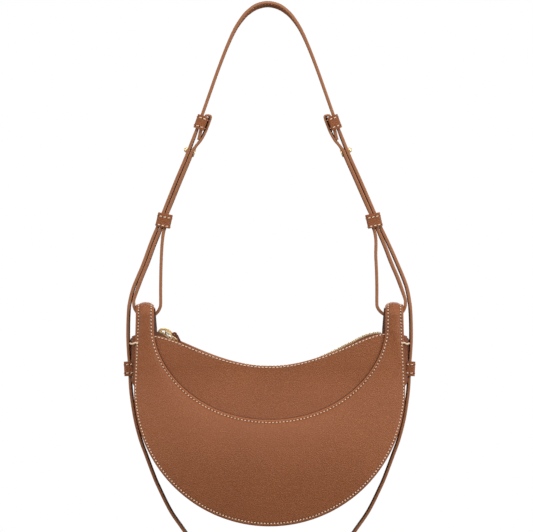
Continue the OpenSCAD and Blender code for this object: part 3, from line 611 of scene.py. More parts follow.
def makeYoke(face):
    steps, down, edge = yoke["alongSteps"], yoke["downSteps"], yoke["edgeShares"]
    vs = edge + [mix(edge[-1], 1, i / down) for i in range(1, down + 1)]
    rows = [[yokePoint(i / steps, v, face) for v in vs] for i in range(-steps, steps + 1)]
    shadingRows = [[yokeShading(p) for p in row] for row in rows]
    name = faceNames[face] + "_yoke"
    obj = gridMesh(name + "_panel", rows, [leatherMat, paintMat], lambda c: Vector((0, face, 0)), shadingRows=shadingRows)
    thicken(obj, panels["yoke"] * yoke["skive"])
    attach(obj, "bag")
    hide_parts(name)
    bm = bmesh.new()
    end, count = yoke["rowEnd"], 240
    row = [yokeSample(mix(-end, end, i / count), yoke["rowDrop"], face) for i in range(count + 1)]
    sew(bm, row, stitch["seamPitch"], stitch["radius"] * yoke["threadR"], yoke["threadShare"],
        stitch["hole"] * yoke["hole"])
    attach(sewn(bm, name + "_stitches"), "bag")


# The side runners, which set where the strap lies beside the bag
runner = {"thick": 1.4 * mm, "height": 46 * mm, "drop": 21 * mm, "stand": 5.9 * mm, "tilt": math.radians(3),
          "bevel": 0.35 * mm}
runnerTopZ = tunnelZ - runner["drop"]
runnerLowZ = runnerTopZ - runner["height"]


def heightOf(node):
    low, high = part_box(node)
    return (low.z + high.z) / 2


# The gusset: flanges behind both panels' edges, in steps of (from the edge, set in), and a wall between them
gusset = {"inset": 3.7 * mm, "thick": 1.6 * mm, "belly": 2.7 * mm, "ridge": 3.2 * mm, "wallFoot": 15 * mm,
          "wallShare": 0.88, "bevel": 0.3 * mm, "channel": (7.5 * mm, 9.2 * mm),
          "ridgeFoot": (-8 * mm, 6 * mm), "ridgeTop": (1.2 * mm, 3.6 * mm), "keeperShare": 0.72,
          "keeperReach": (6 * mm, 9 * mm), "alongSteps": 110, "acrossSteps": 32,
          "flange": [(0.25 * mm, 0.15 * mm), (1.4 * mm, 0.1 * mm), (2.6 * mm, 0.4 * mm),
                     (3.3 * mm, 1.3 * mm)]}
keeperZ = heightOf("side_keeper_left")


def gussetAcross():
    share, steps = gusset["wallShare"], gusset["acrossSteps"]
    wall = [(None, -share + 2 * share * i / steps, 0) for i in range(steps + 1)]
    return [(d, -1, y) for d, y in gusset["flange"]] + wall + [(d, 1, y) for d, y in gusset["flange"][::-1]]


# Beside the runners the wall stands out in two ridges, with a channel for the keeper between them
def wallInset(z, w, h):
    (footLow, footHigh), (topLow, topHigh) = gusset["ridgeFoot"], gusset["ridgeTop"]
    beside = smooth(runnerLowZ + footLow, runnerLowZ + footHigh, z)
    beside *= 1 - smooth(runnerTopZ + topLow, runnerTopZ + topHigh, z)
    plain = gusset["inset"] - gusset["belly"] * (1 - w * w) * min(h / baseHalf, 1)
    ridge = smooth(*gusset["channel"], abs(w) * h)
    ridge *= mix(gusset["keeperShare"], 1, smooth(*gusset["keeperReach"], abs(z - keeperZ)))
    return mix(plain, mix(gusset["inset"], -gusset["ridge"], ridge), beside)


def gussetPoint(length, d, w, y, side):
    h = halfDepth(outerAt(length).y)
    place = outerAt(length, wallInset(outerAt(length).y, w, h) if d is None else d)
    return Vector((side * place.x, math.copysign(max(abs(w) * h - y, 0), w), place.y))


def makeGusset():
    end, steps, across = outerLen - gusset["wallFoot"], gusset["alongSteps"], gussetAcross()
    rows = []
    for side in (left, right):
        counts = range(steps, -1, -1) if side == left else range(1, steps + 1)
        rows += [[gussetPoint(end * i / steps, d, w, y, side) for d, w, y in across] for i in counts]
    obj = gridMesh("gusset_wall", rows, [gussetShadeMat, paintMat], lambda c: Vector((c.x, 0, c.z - centreZ)))
    thicken(obj, gusset["thick"], bevel=gusset["bevel"])
    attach(obj, "bag")
    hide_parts("gusset")
    for side in (left, right):
        makeHornSide(side, outerAt(end).y)


# The horns' outer and inner sides: plates whose steps are (mm deep, mm inside the outline, share towards the
# tunnel), and an inner bulge whose steps are (share towards the tunnel, share of the bulge)
horn = {"tunnelR": 6.3 * mm, "topIn": 2.4 * mm, "plate": 0.8 * mm, "bevel": 0.15 * mm,
        "outer": [(0.3, 0.05, 0), (1.8, 0.1, 0), (3.4, 0.4, 0), (4.4, 1.6, 0), (4.5, 1.6, 0.5),
                  (4.5, 1.6, 0.85), (4.9, 1.6, 0.99), (7.4, 1.6, 1)],
        "inner": 1.1 * mm, "innerRim": [(1.6, 0.3, 0), (0.3, 0.3, 0), (0, 0.6, 0)],
        "innerTunnel": (3, 0.6, 1), "bulge": 1.9 * mm, "bulgeLeast": 0.8 * mm, "bulgeLean": 0.082,
        "bulgeInset": 0.6 * mm,
        "bulgeSteps": [(0.1, 0.42), (0.22, 0.75), (0.4, 0.96), (0.6, 1), (0.8, 0.9), (0.92, 0.62),
                       (0.985, 0.25)]}


def profileEdge(angle, footZ, inset):
    y, z = math.cos(angle), math.sin(angle)
    if z >= 0:
        return Vector((y, z)) * (hornHalf - inset - horn["topIn"] * smooth(0, 0.5, z))
    h = halfDepth(mix(footZ, tunnelZ, 0.5)) - inset
    reachY = h / abs(y) if abs(y) > 1e-6 else 1e9
    reachZ = (tunnelZ - footZ) / -z
    return Vector((y, z)) * min(reachY, reachZ)


def plateRows(steps, footZ, footX=None, around=72):
    rows = []
    for a in turnAngles(around):
        low = math.sin(a) < 0 and abs(profileEdge(a, footZ, 0).y) > (tunnelZ - footZ) * 0.98
        rim = Vector((math.cos(a), math.sin(a))) * horn["tunnelR"]
        ring = []
        for x, inset, share in steps:
            p = profileEdge(a, footZ, 0 if low else inset).lerp(rim, share)
            x = footX if footX and low and share == 0 else x(p.y) if callable(x) else x
            ring.append(Vector((x, p.x, tunnelZ + p.y)))
        rows.append(ring)
    return rows + rows[:1]


def makePlate(name, rows, side, facing, material):
    rows = [[Vector((side * p.x, p.y, p.z)) for p in row] for row in rows]
    obj = gridMesh(name, rows, [material, paintMat], lambda c: Vector((side * facing, 0, 0)))
    thicken(obj, horn["plate"], bevel=horn["bevel"])
    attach(obj, "bag")
    return obj


def makeHornSide(side, footZ):
    outer = [(hornOutX - d * mm, inset * mm, share) for d, inset, share in horn["outer"]]
    makePlate("horn_side_" + sideNames[side], plateRows(outer, footZ, outer[3][0]), side, 1, gussetShadeMat)
    innerX = hornInX + horn["inner"]

    def bulgeAt(swell):
        def place(z):
            bulge = max(horn["bulge"] - z * horn["bulgeLean"], horn["bulgeLeast"])
            return mix(innerX, hornInX - bulge, swell)
        return place

    inner = [(innerX + d * mm, inset * mm, share) for d, inset, share in horn["innerRim"]]
    inner += [(bulgeAt(swell), horn["bulgeInset"], share) for share, swell in horn["bulgeSteps"]]
    inner += [(innerX + d * mm, inset * mm, share) for d, inset, share in [horn["innerTunnel"]]]
    rows = plateRows(inner, yokeEndZ - body["yokeUnder"])
    # The inner facing is near-black painted shade
    facing = makePlate("horn_facing_leather_" + sideNames[side], rows, side, -1, shadeMat)
    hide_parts("horn_facing_" + sideNames[side])


makeCrescent(front)
makeCrescent(back)
makeYoke(front)
makeYoke(back)
makeGusset()
print("panels and gusset made")


# The long strap, and its route down one side as the line of its inner face
strap = {"width": 9 * mm, "thick": 3 * mm, "corner": 0.8 * mm, "gap": 0.5 * mm, "seam": 1.6 * mm,
         "threadR": 0.36 * mm, "threadSink": 0.3 * mm, "darkBelow": -115 * mm, "tipRows": 7, "bend": 9 * mm,
         "sway": 1.8 * mm, "swayFrom": -270 * mm, "swayFull": -110 * mm,
         "bow": 1.8 * mm, "bowTop": 6 * mm, "bowFoot": 4 * mm}
upperShares = [(0, 1), (0.075, 0.993), (0.134, 0.976), (0.177, 0.956), (0.232, 0.919), (0.291, 0.861),
               (0.357, 0.784), (0.448, 0.668), (0.498, 0.605), (0.578, 0.513), (0.653, 0.436), (0.744, 0.339),
               (0.835, 0.243), (0.901, 0.165), (0.937, 0.127), (0.973, 0.088), (0.995, 0.05), (1.006, 0.013)]
lowerShares = [(0.98, 0.6), (0.956, 0.506), (0.918, 0.412), (0.878, 0.341), (0.826, 0.251), (0.789, 0.194),
               (0.702, 0.08), (0.613, -0.005), (0.441, -0.159)]
strapT, strapW = strap["thick"], strap["width"]


def sideLineX(z):
    return hornOutX + runner["stand"] - (runnerTopZ - z) * math.tan(runner["tilt"])


def spline(points, steps):
    last = len(points) - 1
    line = []
    for i in range(last):
        a, b, c, d = points[max(i - 1, 0)], points[i], points[i + 1], points[min(i + 2, last)]
        for k in range(steps):
            t = k / steps
            line.append((b * 2 + (c - a) * t + (a * 2 - b * 5 + c * 4 - d) * t * t
                         + (b * 3 - a - c * 3 + d) * t ** 3) / 2)
    return line + [points[last]]


def routeLine(steps=8):
    points = [Vector((s * halfW + strapT * (1 - h), tunnelZ * (1 - h))) for s, h in upperShares]
    points += [Vector((sideLineX(z), z)) for z in (runnerTopZ, runnerTopZ - runner["height"] / 2, runnerLowZ)]
    points += [Vector((s * halfW + strapT, floorZ + h * (tunnelZ - floorZ))) for s, h in lowerShares]
    mirrored = Vector((-points[1].x, points[1].y))
    return spline([mirrored] + points, steps)[steps:]


route = routeLine()


def routeX(z):
    for p, q in zip(route, route[1:]):
        if p.y >= z >= q.y:
            return mix(p.x, q.x, (p.y - z) / max(p.y - q.y, 1e-9))
    return route[0].x if z > 0 else route[-1].x


def routeLean(z):
    return math.atan2(routeX(z - strapT) - routeX(z + strapT), 2 * strapT)


def inside(z, v):
    lean = routeLean(z)
    return Vector((routeX(z), z)) - Vector((math.cos(lean), math.sin(lean))) * v


def roundedSection(thick, width, corner, steps=3):
    points = []
    for sx, sy, start in ((1, 1, 0), (-1, 1, 90), (-1, -1, 180), (1, -1, 270)):
        for i in range(steps + 1):
            a = math.radians(start + 90 * i / steps)
            points.append((sx * (thick / 2 - corner) + corner * math.cos(a),
                           sy * (width / 2 - corner) + corner * math.sin(a)))
    return points


# The strap's crown hangs a little to the left of the bag's middle
def sway(z):
    return -strap["sway"] * smooth(strap["swayFrom"], strap["swayFull"], z)


def swayed(p, n):
    return p + Vector((sway(p.z), 0, 0))


def wayAt(line, i):
    return (line[min(i + 1, len(line) - 1)] - line[max(i - 1, 0)]).normalized()


# A frame is a place, the directions across the strap and out of its face, and its share of the thickness
def sweepFrames(line, rollAt, slimAt=lambda i: 1):
    frames = []
    for i, p in enumerate(line):
        d = wayAt(line, i)
        out = Vector((-d.y, 0, d.x))
        turn = rollAt(p, out)
        across = Vector((0, -math.cos(turn), 0)) + out * math.sin(turn)
        up = out * math.cos(turn) + Vector((0, math.sin(turn), 0))
        frames.append((Vector((p.x + sway(p.y), 0, p.y)), across, up, slimAt(i)))
    return frames


def offsetLine(line, d):
    moved = []
    for i, p in enumerate(line):
        way = wayAt(line, i)
        moved.append(p + Vector((-way.y, way.x)) * d)
    return moved


# Below the upper keepers the long strap's inner face gets near-black painted shade
def sweepStrap(name, frames, tips=(False, False), shadeInside=False):
    section = roundedSection(strapT, strapW, strap["corner"])
    rows = []
    tipR = strapW / 2
    travelled = [0.0]
    for p, q in zip(frames, frames[1:]):
        travelled.append(travelled[-1] + (q[0] - p[0]).length)
    for (p, across, up, slim), at in zip(frames, travelled):
        gap = min(at if tips[0] else 1, travelled[-1] - at if tips[1] else 1)
        narrow = math.sqrt(max(1 - (1 - min(gap / tipR, 1)) ** 2, 0.0004))
        rows.append([p + up * (a * slim * mix(0.7, 1, narrow)) + across * (b * narrow) for a, b in section])
    edge = strapW / 2 - strap["corner"] * 0.8

    def kind(i, j):
        (a, b), (c, d) = section[j], section[(j + 1) % len(section)]
        if min(abs(b), abs(d)) > edge:
            return 1
        return 2 if shadeInside and a + c < 0 and frames[i][0].z < strap["darkBelow"] else 0

    return gridMesh(name, rows, [leatherMat, paintMat, shadeMat], closed=True, caps=True, pick=kind)


def sewStrap(bm, frames, skip=0):
    kept = frames[skip:len(frames) - skip]
    for face in (1, -1):
        for edge in (1, -1):
            off = edge * (strapW / 2 - strap["seam"])
            samples = [(p + up * face * (strapT / 2 * slim - strap["threadSink"]) + across * off, up * face)
                       for p, across, up, slim in kept]
            sew(bm, samples, radius=strap["threadR"], hole=0)


# How the straps turn about their own line. The strands' front edges stand a little outwards, but less so in
# the keepers and near the crown, and the folded ends turn their inner face a little to the front.
roll = {"crown": math.radians(26), "crownFade": 15 * mm, "side": math.radians(6), "keeperShare": 0.35,
        "keeperHold": 5 * mm, "keeperFade": 9 * mm, "topShare": 0.15, "topFrom": 100 * mm,
        "topOver": 140 * mm, "fold": math.radians(11), "foldNear": 0.8 * mm, "foldFar": 0.6 * mm,
        "loopFrom": 12 * mm, "loopOver": 32 * mm, "insideFrom": 9 * mm, "insideOver": 6 * mm}


def sideRoll(z):
    kept = [smooth(0, roll["keeperFade"], abs(z - heightOf(node + "_right")) - roll["keeperHold"])
            for node in ("upper_keeper", "lower_keeper", "side_keeper")]
    held, top = mix(roll["keeperShare"], 1, min(kept)), smooth(roll["topFrom"], roll["topOver"], -z)
    return roll["side"] * held * mix(roll["topShare"], 1, top)


def mainRoll(p, out):
    return mix(sideRoll(p.y), roll["crown"], math.exp(min(p.y, 0) / roll["crownFade"]))


def connectorRoll(p, out):
    mirror = 1 if p.x > 0 else -1
    depth = (routeX(p.y) - abs(p.x)) * math.cos(routeLean(p.y))
    near, far = nearV + roll["foldNear"], farV - roll["foldFar"]
    if p.y > heightOf("stud_base_right") and depth > near:
        return -smooth(near, far, depth) * roll["fold"] * out.x * mirror
    clear = smooth(tunnelZ + roll["loopFrom"], tunnelZ + roll["loopOver"], p.y)
    clear *= smooth(0, roll["insideOver"], abs(p.x) - routeX(p.y) + roll["insideFrom"])
    return sideRoll(p.y) * clear * out.x * mirror


# The right side of the strap hangs a little further out above the horn than the left
def bowed(p):
    top, foot = heightOf("lower_keeper_right") - strap["bowTop"], tunnelZ + strap["bowFoot"]
    t = min(max((top - p.y) / (top - foot), 0), 1)
    out = strap["bow"] * math.sin(math.pi * t) ** 2 if p.x > halfW * 0.8 and t < 1 else 0
    return Vector((p.x + out, p.y))


def withTip(line, steps=6):
    tip = line[-1]
    way = (line[-1] - line[-2]).normalized()
    kept = [p for p in line if (p - tip).length > strapW / 2]
    start = tip - way * (strapW / 2)
    return kept + [start + way * (strapW / 2) * math.sin(math.pi / 2 * i / steps) for i in range(steps + 1)]


def makeMainStrap():
    half = withTip(route)
    whole = [Vector((-p.x, p.y)) for p in half[:0:-1]] + [bowed(p) for p in half]
    frames = sweepFrames(offsetLine(whole, strapT / 2), mainRoll)
    obj = sweepStrap("long_strap", frames, (True, True), True)
    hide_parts("shoulder_strap", "tail_left", "tail_right")
    bm = bmesh.new()
    sewStrap(bm, frames, strap["tipRows"])
    rows = sewn(bm, "long_strap_stitches")
    for piece in (obj, rows):
        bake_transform(piece)


# Keepers, and how deep inside the long strap the connector's near, far and third strands lie
keepers = {"height": 13.6 * mm, "wall": 2.2 * mm, "thinWall": 1.3 * mm, "fit": 0.35 * mm,
           "sideHeight": 12.6 * mm, "sideWall": 1.6 * mm, "bevel": 0.9 * mm, "row": 2.6 * mm, "rowOut": 0.4,
           "rowSide": 0.78, "pitch": 3.9 * mm, "threadShare": 0.72, "skiveFrom": 0.3 * mm,
           "skiveOver": 1 * mm}
connector = {"skive": 0.72, "foldGap": 0.5 * mm, "foldRise": 1.5 * mm, "foldOut": 0.1 * mm, "loopW": 26 * mm,
             "belly": 0.15 * mm, "studDown": 1.5 * mm, "studReach": 3.6 * mm, "startIn": 1.5 * mm,
             "keptIn": 0.4 * mm, "slimStart": (11, 21), "slimTurn": 23, "slimEnd": (50, 65), "endRows": 3,
             "bowOver": 8 * mm, "bowTop": -222 * mm, "bowFoot": -245 * mm}
fit = keepers["fit"]
nearV = strap["gap"] + strapT / 2
thirdV = nearV + strap["gap"] + strapT
farV = nearV + strapT / 2 + fit + keepers["thinWall"] + connector["foldGap"] + strapT * connector["skive"] / 2


# From a short end below the upper keeper up through it, over the fold and down past the stud and the lower
# keeper, round the loop through the horn and back up into the lower keeper
def connectorLine():
    k, q, h = heightOf("upper_keeper_right"), heightOf("lower_keeper_right"), keepers["height"] / 2
    studZ, base = heightOf("stud_base_right") - connector["studDown"], connector["studReach"]
    rise, loopR = connector["foldRise"], connector["loopW"] / 2
    midX = hornOutX + strap["gap"] + strapT / 2
    loopX, innerX, loopZ = midX - loopR, midX - 2 * loopR, tunnelZ + loopR - strapT * 0.35
    u, low, foot = q - h, k - h * 1.25, studZ + base
    points = [inside(mix(low, foot, 0.36), nearV + connector["startIn"]),
              inside(k - h - strap["gap"], nearV + connector["keptIn"]), inside(k - h / 2, nearV),
              inside(k + h / 2, nearV), inside(k + h, nearV),
              inside(k + h + rise * 0.72, nearV + strapT * 0.3), inside(k + h + rise, mix(nearV, farV, 0.5)),
              inside(k + h + rise * 0.62, farV - strapT * 0.1),
              inside(k + h / 2, farV + connector["foldOut"]), inside(k - h / 2, farV),
              inside(low, farV - strapT * 0.1), inside(mix(low, foot, 0.35), mix(farV, nearV, 0.3)),
              inside(mix(low, foot, 0.7), mix(farV, nearV, 0.76)), inside(foot, nearV),
              inside(studZ - base, nearV)]
    for s in (0.25, 0.5, 0.75):
        points.append(inside(mix(studZ - base, q + h, s), nearV + connector["belly"] * math.sin(math.pi * s)))
    points += [inside(q + h, nearV), inside(q, nearV), inside(q - h, nearV)]
    shoulder = loopZ + loopR * 0.6
    points += [inside(mix(u, shoulder, s), nearV) for s in (0.25, 0.5, 0.75)]
    points.append(Vector((mix(midX, inside(shoulder, nearV).x, 0.5), loopZ + loopR * 0.4)))
    points += [Vector((loopX + loopR * math.cos(a), loopZ + loopR * math.sin(a)))
               for a in (math.radians(-18 * i) for i in range(11))]
    d, endX = u - loopZ, inside(u, thirdV).x
    for x, z in ((0, 0.22), (0.12, 0.5), (0.45, 0.78)):
        points.append(Vector((mix(innerX, endX, x), loopZ + d * z)))
    points += [inside(q - h, thirdV), inside(q, thirdV), inside(q + h - strap["gap"], thirdV)]
    return spline(points, 5)


# The connector is skived where it folds. The counts are those of its line's points.
def slimAt(i):
    if i > connector["slimTurn"]:
        return mix(connector["skive"], 1, smooth(*connector["slimEnd"], i))
    return mix(1, connector["skive"], smooth(*connector["slimStart"], i))


def bowedIn(p):
    aside = strap["bow"] * smooth(hornInX, hornInX - connector["bowOver"], p.x)
    return Vector((p.x - aside * smooth(connector["bowTop"], connector["bowFoot"], p.y), p.y))


def makeConnector(side):
    line = [Vector((-p.x, p.y)) if side == left else bowedIn(p) for p in connectorLine()]
    frames = sweepFrames(line, connectorRoll, slimAt)
    name = "connector_" + sideNames[side]
    obj = sweepStrap(name + "_strap", frames)
    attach(obj, "strap")
    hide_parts(name)
    bm = bmesh.new()
    sewStrap(bm, frames, connector["endRows"])
    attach(sewn(bm, name + "_stitches"), "strap")


makeMainStrap()
makeConnector(left)
makeConnector(right)
print("straps made")


# Keepers, with two rows of stitches round each
def keeperFrame(z, side):
    turn = Matrix.Rotation(-routeLean(z), 4, "Y")
    place = Matrix.Translation((routeX(z), 0, z)) @ turn
    return Matrix.Scale(-1, 4, (1, 0, 0)) @ place if side == left else place


def makeKeeper(node, side, x0, x1, wall, height, shape):
    name = node + "_" + sideNames[side]
    place = keeperFrame(heightOf(name), side)
    toLocal = place.inverted()
    place = Matrix.Translation((sway(heightOf(name)), 0, 0)) @ place
    refined(name, name + "_band", leatherMat, keepers["bevel"],
            shape=lambda p, n: place @ shape(toLocal @ p))
    turned = place.to_3x3()
    bm = bmesh.new()
    y, out, share = strapW / 2 + fit + wall, wall * keepers["rowOut"], keepers["rowSide"]
    for rowZ in (keepers["row"] - height / 2, height / 2 - keepers["row"]):
        rows = [((x0 - out, face * y), (x1 + out, face * y), (0, face, 0)) for face in (front, back)]
        rows += [((x, -y * share), (x, y * share), (face, 0, 0))
                 for face, x in ((-1, x0 - wall), (1, x1 + wall))]
        for start, end, up in rows:
            ends = [place @ shape(Vector((*p, rowZ))) for p in (start, end)]
            sew(bm, [(p, turned @ Vector(up)) for p in ends], keepers["pitch"], share=keepers["threadShare"])
    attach(sewn(bm, name + "_stitches"), name)


# The upper keepers' inner walls are skived thin
def skived(p):
    face = -nearV - strapT / 2 - fit
    thin = smooth(face - keepers["skiveFrom"], face - keepers["skiveOver"], p.x)
    return Vector((p.x + (keepers["wall"] - keepers["thinWall"]) * thin, p.y, p.z))


# The side keepers are a little fuller than their solids
fuller = {"out": 2.0 * mm, "over": 0.8 * mm, "wide": 1.04, "high": 1.12, "up": 0.9 * mm}


def filled(p):
    out = fuller["out"] * smooth(strapT + fit, strapT + fit + fuller["over"], p.x)
    return Vector((p.x + out, p.y * fuller["wide"], p.z * fuller["high"] + fuller["up"]))


# The lower keepers hang straighter than the strap that they hold
straighter = {"turn": math.radians(11), "narrow": 0.95, "up": 1.7 * mm, "pivotDown": 0.4 * mm}


def straightened(p):
    middle = Vector((-thirdV / 2, 0, -straighter["pivotDown"]))
    turned = Matrix.Rotation(straighter["turn"], 3, "Y") @ (p - middle)
    return middle + Vector((turned.x * straighter["narrow"], turned.y, turned.z + straighter["up"]))


# Each kind: its node, where its inner wall begins, its wall, its height and how its solid is reshaped
keeperKinds = (
    ("upper_keeper", -nearV - strapT / 2 - fit, keepers["wall"], keepers["height"], skived),
    ("lower_keeper", -thirdV - strapT / 2 - fit, keepers["wall"], keepers["height"], straightened),
    ("side_keeper", -2 * fit - runner["thick"], keepers["sideWall"], keepers["sideHeight"], filled))
for side in (left, right):
    for node, innerX, wall, height, shape in keeperKinds:
        makeKeeper(node, side, innerX, strapT + fit, wall, height, shape)


def threadCurve(name, points, radius, sides=8):
    line = spline([Vector(p) for p in points], 8)
    rows = []
    for i, p in enumerate(line):
        way = wayAt(line, i)
        a = way.cross(Vector((0, 0, 1))).normalized()
        b = way.cross(a)
        thin = 0.35 if i in (0, len(line) - 1) else 1
        rows.append([p + (a * math.cos(k * math.pi / 4) + b * math.sin(k * math.pi / 4)) * radius * thin
                     for k in range(sides)])
    return gridMesh(name, rows, [threadMat], closed=True, caps=True)


# Runners, and the bar tack that sews each runner's top to the panel's edge, with its points' places in mm
tack = {"drop": 5.5 * mm, "radius": 0.85 * mm, "stand": 0.3 * mm, "out": (4.9, 3.7, 2, -0.4, -2.4),
        "up": (0, -0.6, -0.5, 0.5, -0.6)}
for side in (left, right):
    name = "side_runner_" + sideNames[side]
    refined(name, name + "_strip", darkMat, runner["bevel"], rideOn="bag")
    tackZ = runnerTopZ - tack["drop"]
    y = halfDepth(tackZ) + panels["crescent"] + tack["stand"]
    forward = (strapW / 2 + tack["stand"], y * 0.8, y, y + 0.1 * mm, y + 0.1 * mm)
    points = [(side * (sideX(tackZ) + out * mm), -at, tackZ + up * mm)
              for out, at, up in zip(tack["out"], forward, tack["up"])]
    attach(threadCurve("bar_tack_" + sideNames[side], points, tack["radius"]), "bag")

# Studs, set a little nearer to the middle, and the zip's leather ends
smallParts = {"studInwards": 1.5 * mm, "discBevel": 0.3 * mm, "zipEndBevel": 0.4 * mm}
for side in (left, right):
    end = sideNames[side]
    refined("stud_" + end, "ball_stud_" + end, goldMat, None, rideOn="strap",
            shape=lambda p, n: swayed(p, n) - Vector((side * smallParts["studInwards"], 0, 0)))
    refined("stud_base_" + end, "stud_disc_" + end, goldMat, smallParts["discBevel"], rideOn="strap",
            shape=swayed)
    refined("zip_end_" + end, "zip_end_leather_" + end, darkMat, smallParts["zipEndBevel"],
            rideOn="bag")

# The zip runs hidden behind the yokes on the solids' arc and lifts over their edge at its right end. The
# arc's ends and the knots after it are in mm.
zipLook = {"arcR": 181.971 * mm, "arcFrom": -107, "arcTo": 38, "liftFrom": 50 * mm, "liftZ": -335.2 * mm,
           "liftShare": 0.3, "pitch": 3.7 * mm, "foot": 2.5 * mm, "shoulder": 1.1 * mm, "shoulderShare": 0.36,
           "crest": 0.8 * mm, "height": 4.4 * mm, "sunk": 0.45, "inner": 0.5 * mm, "outer": 3.6 * mm,
           "slope": 0.2 * mm, "bevel": 0.12 * mm}
zipKnots = [(62, -335.6), (70, -331.6), (74.8, -329.0), (80.9, -326.3), (85.2, -323.9), (90.8, -321.1),
            (95.7, -319.3), (103.1, -317.7), (108.0, -318.0)]
zipPivot, zipR = jointOf["zip_run"]["pos_m"][2], zipLook["arcR"]


def arcZ(x):
    return zipPivot - math.sqrt(zipR ** 2 - x ** 2)


def chainLine():
    points = [Vector((x * mm, arcZ(x * mm))) for x in range(zipLook["arcFrom"], zipLook["arcTo"], 8)]
    start = zipLook["liftFrom"]
    points.append(Vector((start, mix(arcZ(start), zipLook["liftZ"], zipLook["liftShare"]))))
    return spline(points + [Vector((x * mm, z * mm)) for x, z in zipKnots], 6)


chain = chainLine()


def chainLift(p, n=None):
    x = min(max(p.x, chain[0].x), chain[-1].x)
    for a, b in zip(chain, chain[1:]):
        if a.x <= x <= b.x:
            return p + Vector((0, 0, mix(a.y, b.y, (x - a.x) / (b.x - a.x)) - arcZ(x)))
    return p


# Each tooth is a wedge with a narrow crest, and the two rows mesh by half a pitch
def toothOutline(slope):
    low, crest = -zipLook["sunk"] * zipLook["height"], (1 - zipLook["sunk"]) * zipLook["height"]
    half, side, top = zipLook["foot"] / 2, zipLook["foot"] * zipLook["shoulderShare"], zipLook["crest"] / 2
    shoulder = crest - zipLook["shoulder"] - slope
    return ((-half, low), (half, low), (side, shoulder), (top, crest - slope), (-top, crest - slope),
            (-side, shoulder))


def makeTeeth(face):
    bm = bmesh.new()
    travelled, due = 0.0, zipLook["pitch"] * (0.5 if face == front else 1)
    for a, b in zip(chain, chain[1:]):
        step = (b - a).length
        while due <= travelled + step:
            p, d = a.lerp(b, (due - travelled) / step), (b - a).normalized()
            along, up = Vector((d.x, 0, d.y)), Vector((-d.y, 0, d.x))
            inner, outer = ([bm.verts.new(Vector((p.x, face * y, p.y)) + along * w + up * h)
                             for w, h in toothOutline(slope)]
                            for y, slope in ((zipLook["inner"], 0), (zipLook["outer"], zipLook["slope"])))
            for k in range(6):
                m = (k + 1) % 6
                bm.faces.new((inner[k], inner[m], outer[m], outer[k]))
            bm.faces.new(inner[::-1])
            bm.faces.new(outer)
            due += zipLook["pitch"]
        travelled += step
    bmesh.ops.recalc_face_normals(bm, faces=bm.faces)
    mesh = bpy.data.meshes.new("zip_teeth_gold_" + faceNames[face])
    bm.to_mesh(mesh)
    bm.free()
    mesh.materials.append(goldMat)
    obj = linkObject(mesh.name, mesh)
    soft = obj.modifiers.new("edges", "BEVEL")
    soft.width, soft.segments = zipLook["bevel"], 1
    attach(obj, "bag")
    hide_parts("zip_teeth_" + faceNames[face])


for face in (front, back):
    end = faceNames[face]
    makeTeeth(face)
    refined("zip_tape_" + end, "zip_tape_cloth_" + end, tapeMat, None, rideOn="bag", shape=chainLift)

# The slider's body and its thick bridge, whose middle line is given from the slider's place in mm
slider = {"aside": 0.6 * mm, "raise": 2.8 * mm, "bodyTop": 2.1 * mm, "flatten": 0.9, "bevel": 0.3 * mm,
          "bridge": ((-8.4, 3.0), (-8.2, 6.0), (-5.9, 8.3), (-2.6, 8.6), (0.6, 7.3), (3.2, 5.0), (4.6, 2.2)),
          "bridgeThick": 2.7 * mm, "bridgeWide": 3.4 * mm, "bridgeCorner": 0.9 * mm}
sliderX = (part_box("zip_slider")[0].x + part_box("zip_slider")[1].x) / 2 - slider["aside"]
sliderAt = Vector((sliderX, 0, arcZ(sliderX)))
sliderUp = Vector((-sliderX, 0, zipPivot - arcZ(sliderX))).normalized()


def sliderBody(p, n):
    over = max((p - sliderAt).dot(sliderUp) - slider["bodyTop"], 0)
    return p - sliderUp * slider["flatten"] * over + Vector((0, 0, slider["raise"]))


def makeBridge():
    line = spline([sliderAt.xz + Vector((x, z)) * mm for x, z in slider["bridge"]], 6)
    section = roundedSection(slider["bridgeThick"], slider["bridgeWide"], slider["bridgeCorner"])
    frames = sweepFrames(line, lambda p, out: 0)
    rows = [[p + up * a + across * b for a, b in section] for p, across, up, _ in frames]
    bridge = gridMesh("zip_slider_bridge", rows, [goldMat], closed=True, caps=True)
    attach(bridge, "zip_slider")


# The pull: its folded head is plumper (by so many mm) and set into the bridge, and its foot lies lower
pull = {"headFrom": -79 * mm, "headFull": -89 * mm, "footFrom": -88 * mm, "footFull": -78 * mm,
        "plump": 1.15, "headShift": (-2.4 * mm, 4.6 * mm), "footShift": (-3.5 * mm, -4 * mm),
        "bevel": 0.45 * mm}


def pullShape(p, n):
    head = smooth(pull["headFrom"], pull["headFull"], p.x)
    foot = smooth(pull["footFrom"], pull["footFull"], p.x)
    x, z = (h * head + f * foot for h, f in zip(pull["headShift"], pull["footShift"]))
    return p + n * pull["plump"] * mm * head + Vector((x, 0, z))


refined("zip_slider", "zip_slider_gold", goldMat, slider["bevel"], shape=sliderBody)
makeBridge()
refined("puller_link", "puller_link_gold", goldMat, None)
refined("puller_tab", "puller_tab_leather", darkMat, pull["bevel"], shape=pullShape)

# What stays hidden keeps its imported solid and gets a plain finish
plain = {"lining": clothMat, "slip_pocket": clothMat, "front_board": boardMat, "back_board": boardMat,
         "horn_core_left": boardMat, "horn_core_right": boardMat}
for node, material in plain.items():
    mesh = frame["nodes"][node].data
    mesh.materials.clear()
    mesh.materials.append(material)
print("keepers, metal and zip made")


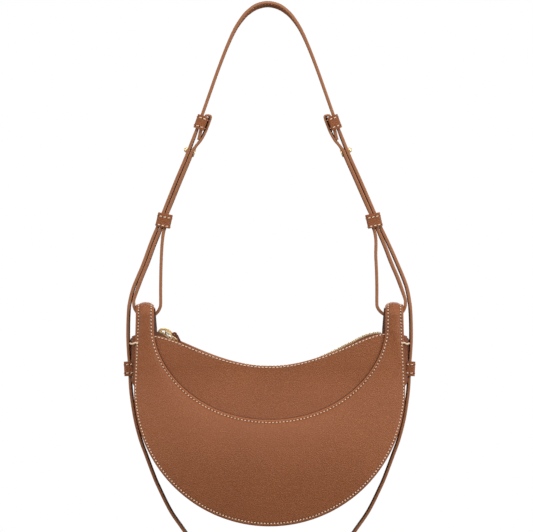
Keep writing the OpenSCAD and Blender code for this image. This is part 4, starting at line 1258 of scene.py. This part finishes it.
# Light: a white room that the camera sees as pure white, and lamps with their place, two sides and power
room = {"colour": (1, 0.985, 0.965, 1), "strength": 0.18}
lamps = {"keyLamp": ((0.1, -1.5, 1.45), (1.6, 0.9), 18), "leftLamp": ((-1.9, -0.9, 0.1), (0.7, 1.6), 24),
         "rightLamp": ((1.9, -0.9, 0.1), (0.7, 1.6), 36), "topLamp": ((0, -0.5, 1.9), (1.6, 0.9), 12.5),
         "backLamp": ((0, 1.9, 0.7), (2.0, 1.2), 26)}


def makeWorld():
    world = bpy.data.worlds.new("whiteRoom")
    bpy.context.scene.world = world
    world.use_nodes = True
    tree = world.node_tree
    lit = tree.nodes["Background"]
    lit.inputs["Color"].default_value = room["colour"]
    lit.inputs["Strength"].default_value = room["strength"]
    seen = addNode(tree, "ShaderNodeBackground", [("Color", (1, 1, 1, 1)), ("Strength", 1.0)])
    path = addNode(tree, "ShaderNodeLightPath")
    either = addNode(tree, "ShaderNodeMixShader")
    tree.links.new(path.outputs["Is Camera Ray"], either.inputs[0])
    tree.links.new(lit.outputs[0], either.inputs[1])
    tree.links.new(seen.outputs[0], either.inputs[2])
    tree.links.new(either.outputs[0], tree.nodes["World Output"].inputs[0])


def makeLamp(name, place, aim, size, power):
    lamp = bpy.data.lights.new(name, "AREA")
    lamp.shape, lamp.size, lamp.size_y = "RECTANGLE", size[0], size[1]
    lamp.energy = power
    obj = bpy.data.objects.new(name, lamp)
    obj.location = place
    obj.rotation_euler = (Vector(aim) - Vector(place)).to_track_quat("-Z", "Y").to_euler()
    bpy.context.scene.collection.objects.link(obj)


makeWorld()
for name, (place, size, power) in lamps.items():
    makeLamp(name, place, (0, 0, mix(floorZ, 0, 0.4)), size, power)

# The photo's camera, far enough away to see the bag as flat as the photo does
photo = {"width": 533, "height": 532, "mmPerPixel": 0.9675, "centreX": 269.6, "bottomY": 525.6,
         "distance": 12, "sensor": 36}
camera = bpy.data.cameras.new("photoCamera")
view = bpy.data.objects.new("photoCamera", camera)
bpy.context.scene.collection.objects.link(view)
scale = photo["mmPerPixel"] * mm
camera.sensor_fit, camera.sensor_width = "HORIZONTAL", photo["sensor"]
camera.lens = photo["sensor"] * photo["distance"] / (photo["width"] * scale)
view.location = ((photo["width"] / 2 - photo["centreX"]) * scale, -photo["distance"],
                 floorZ + (photo["bottomY"] - photo["height"] / 2) * scale)
view.rotation_euler = (math.pi / 2, 0, 0)
bpy.context.scene.camera = view
bpy.context.scene.view_settings.view_transform = "Standard"
print("camera and lamps made")
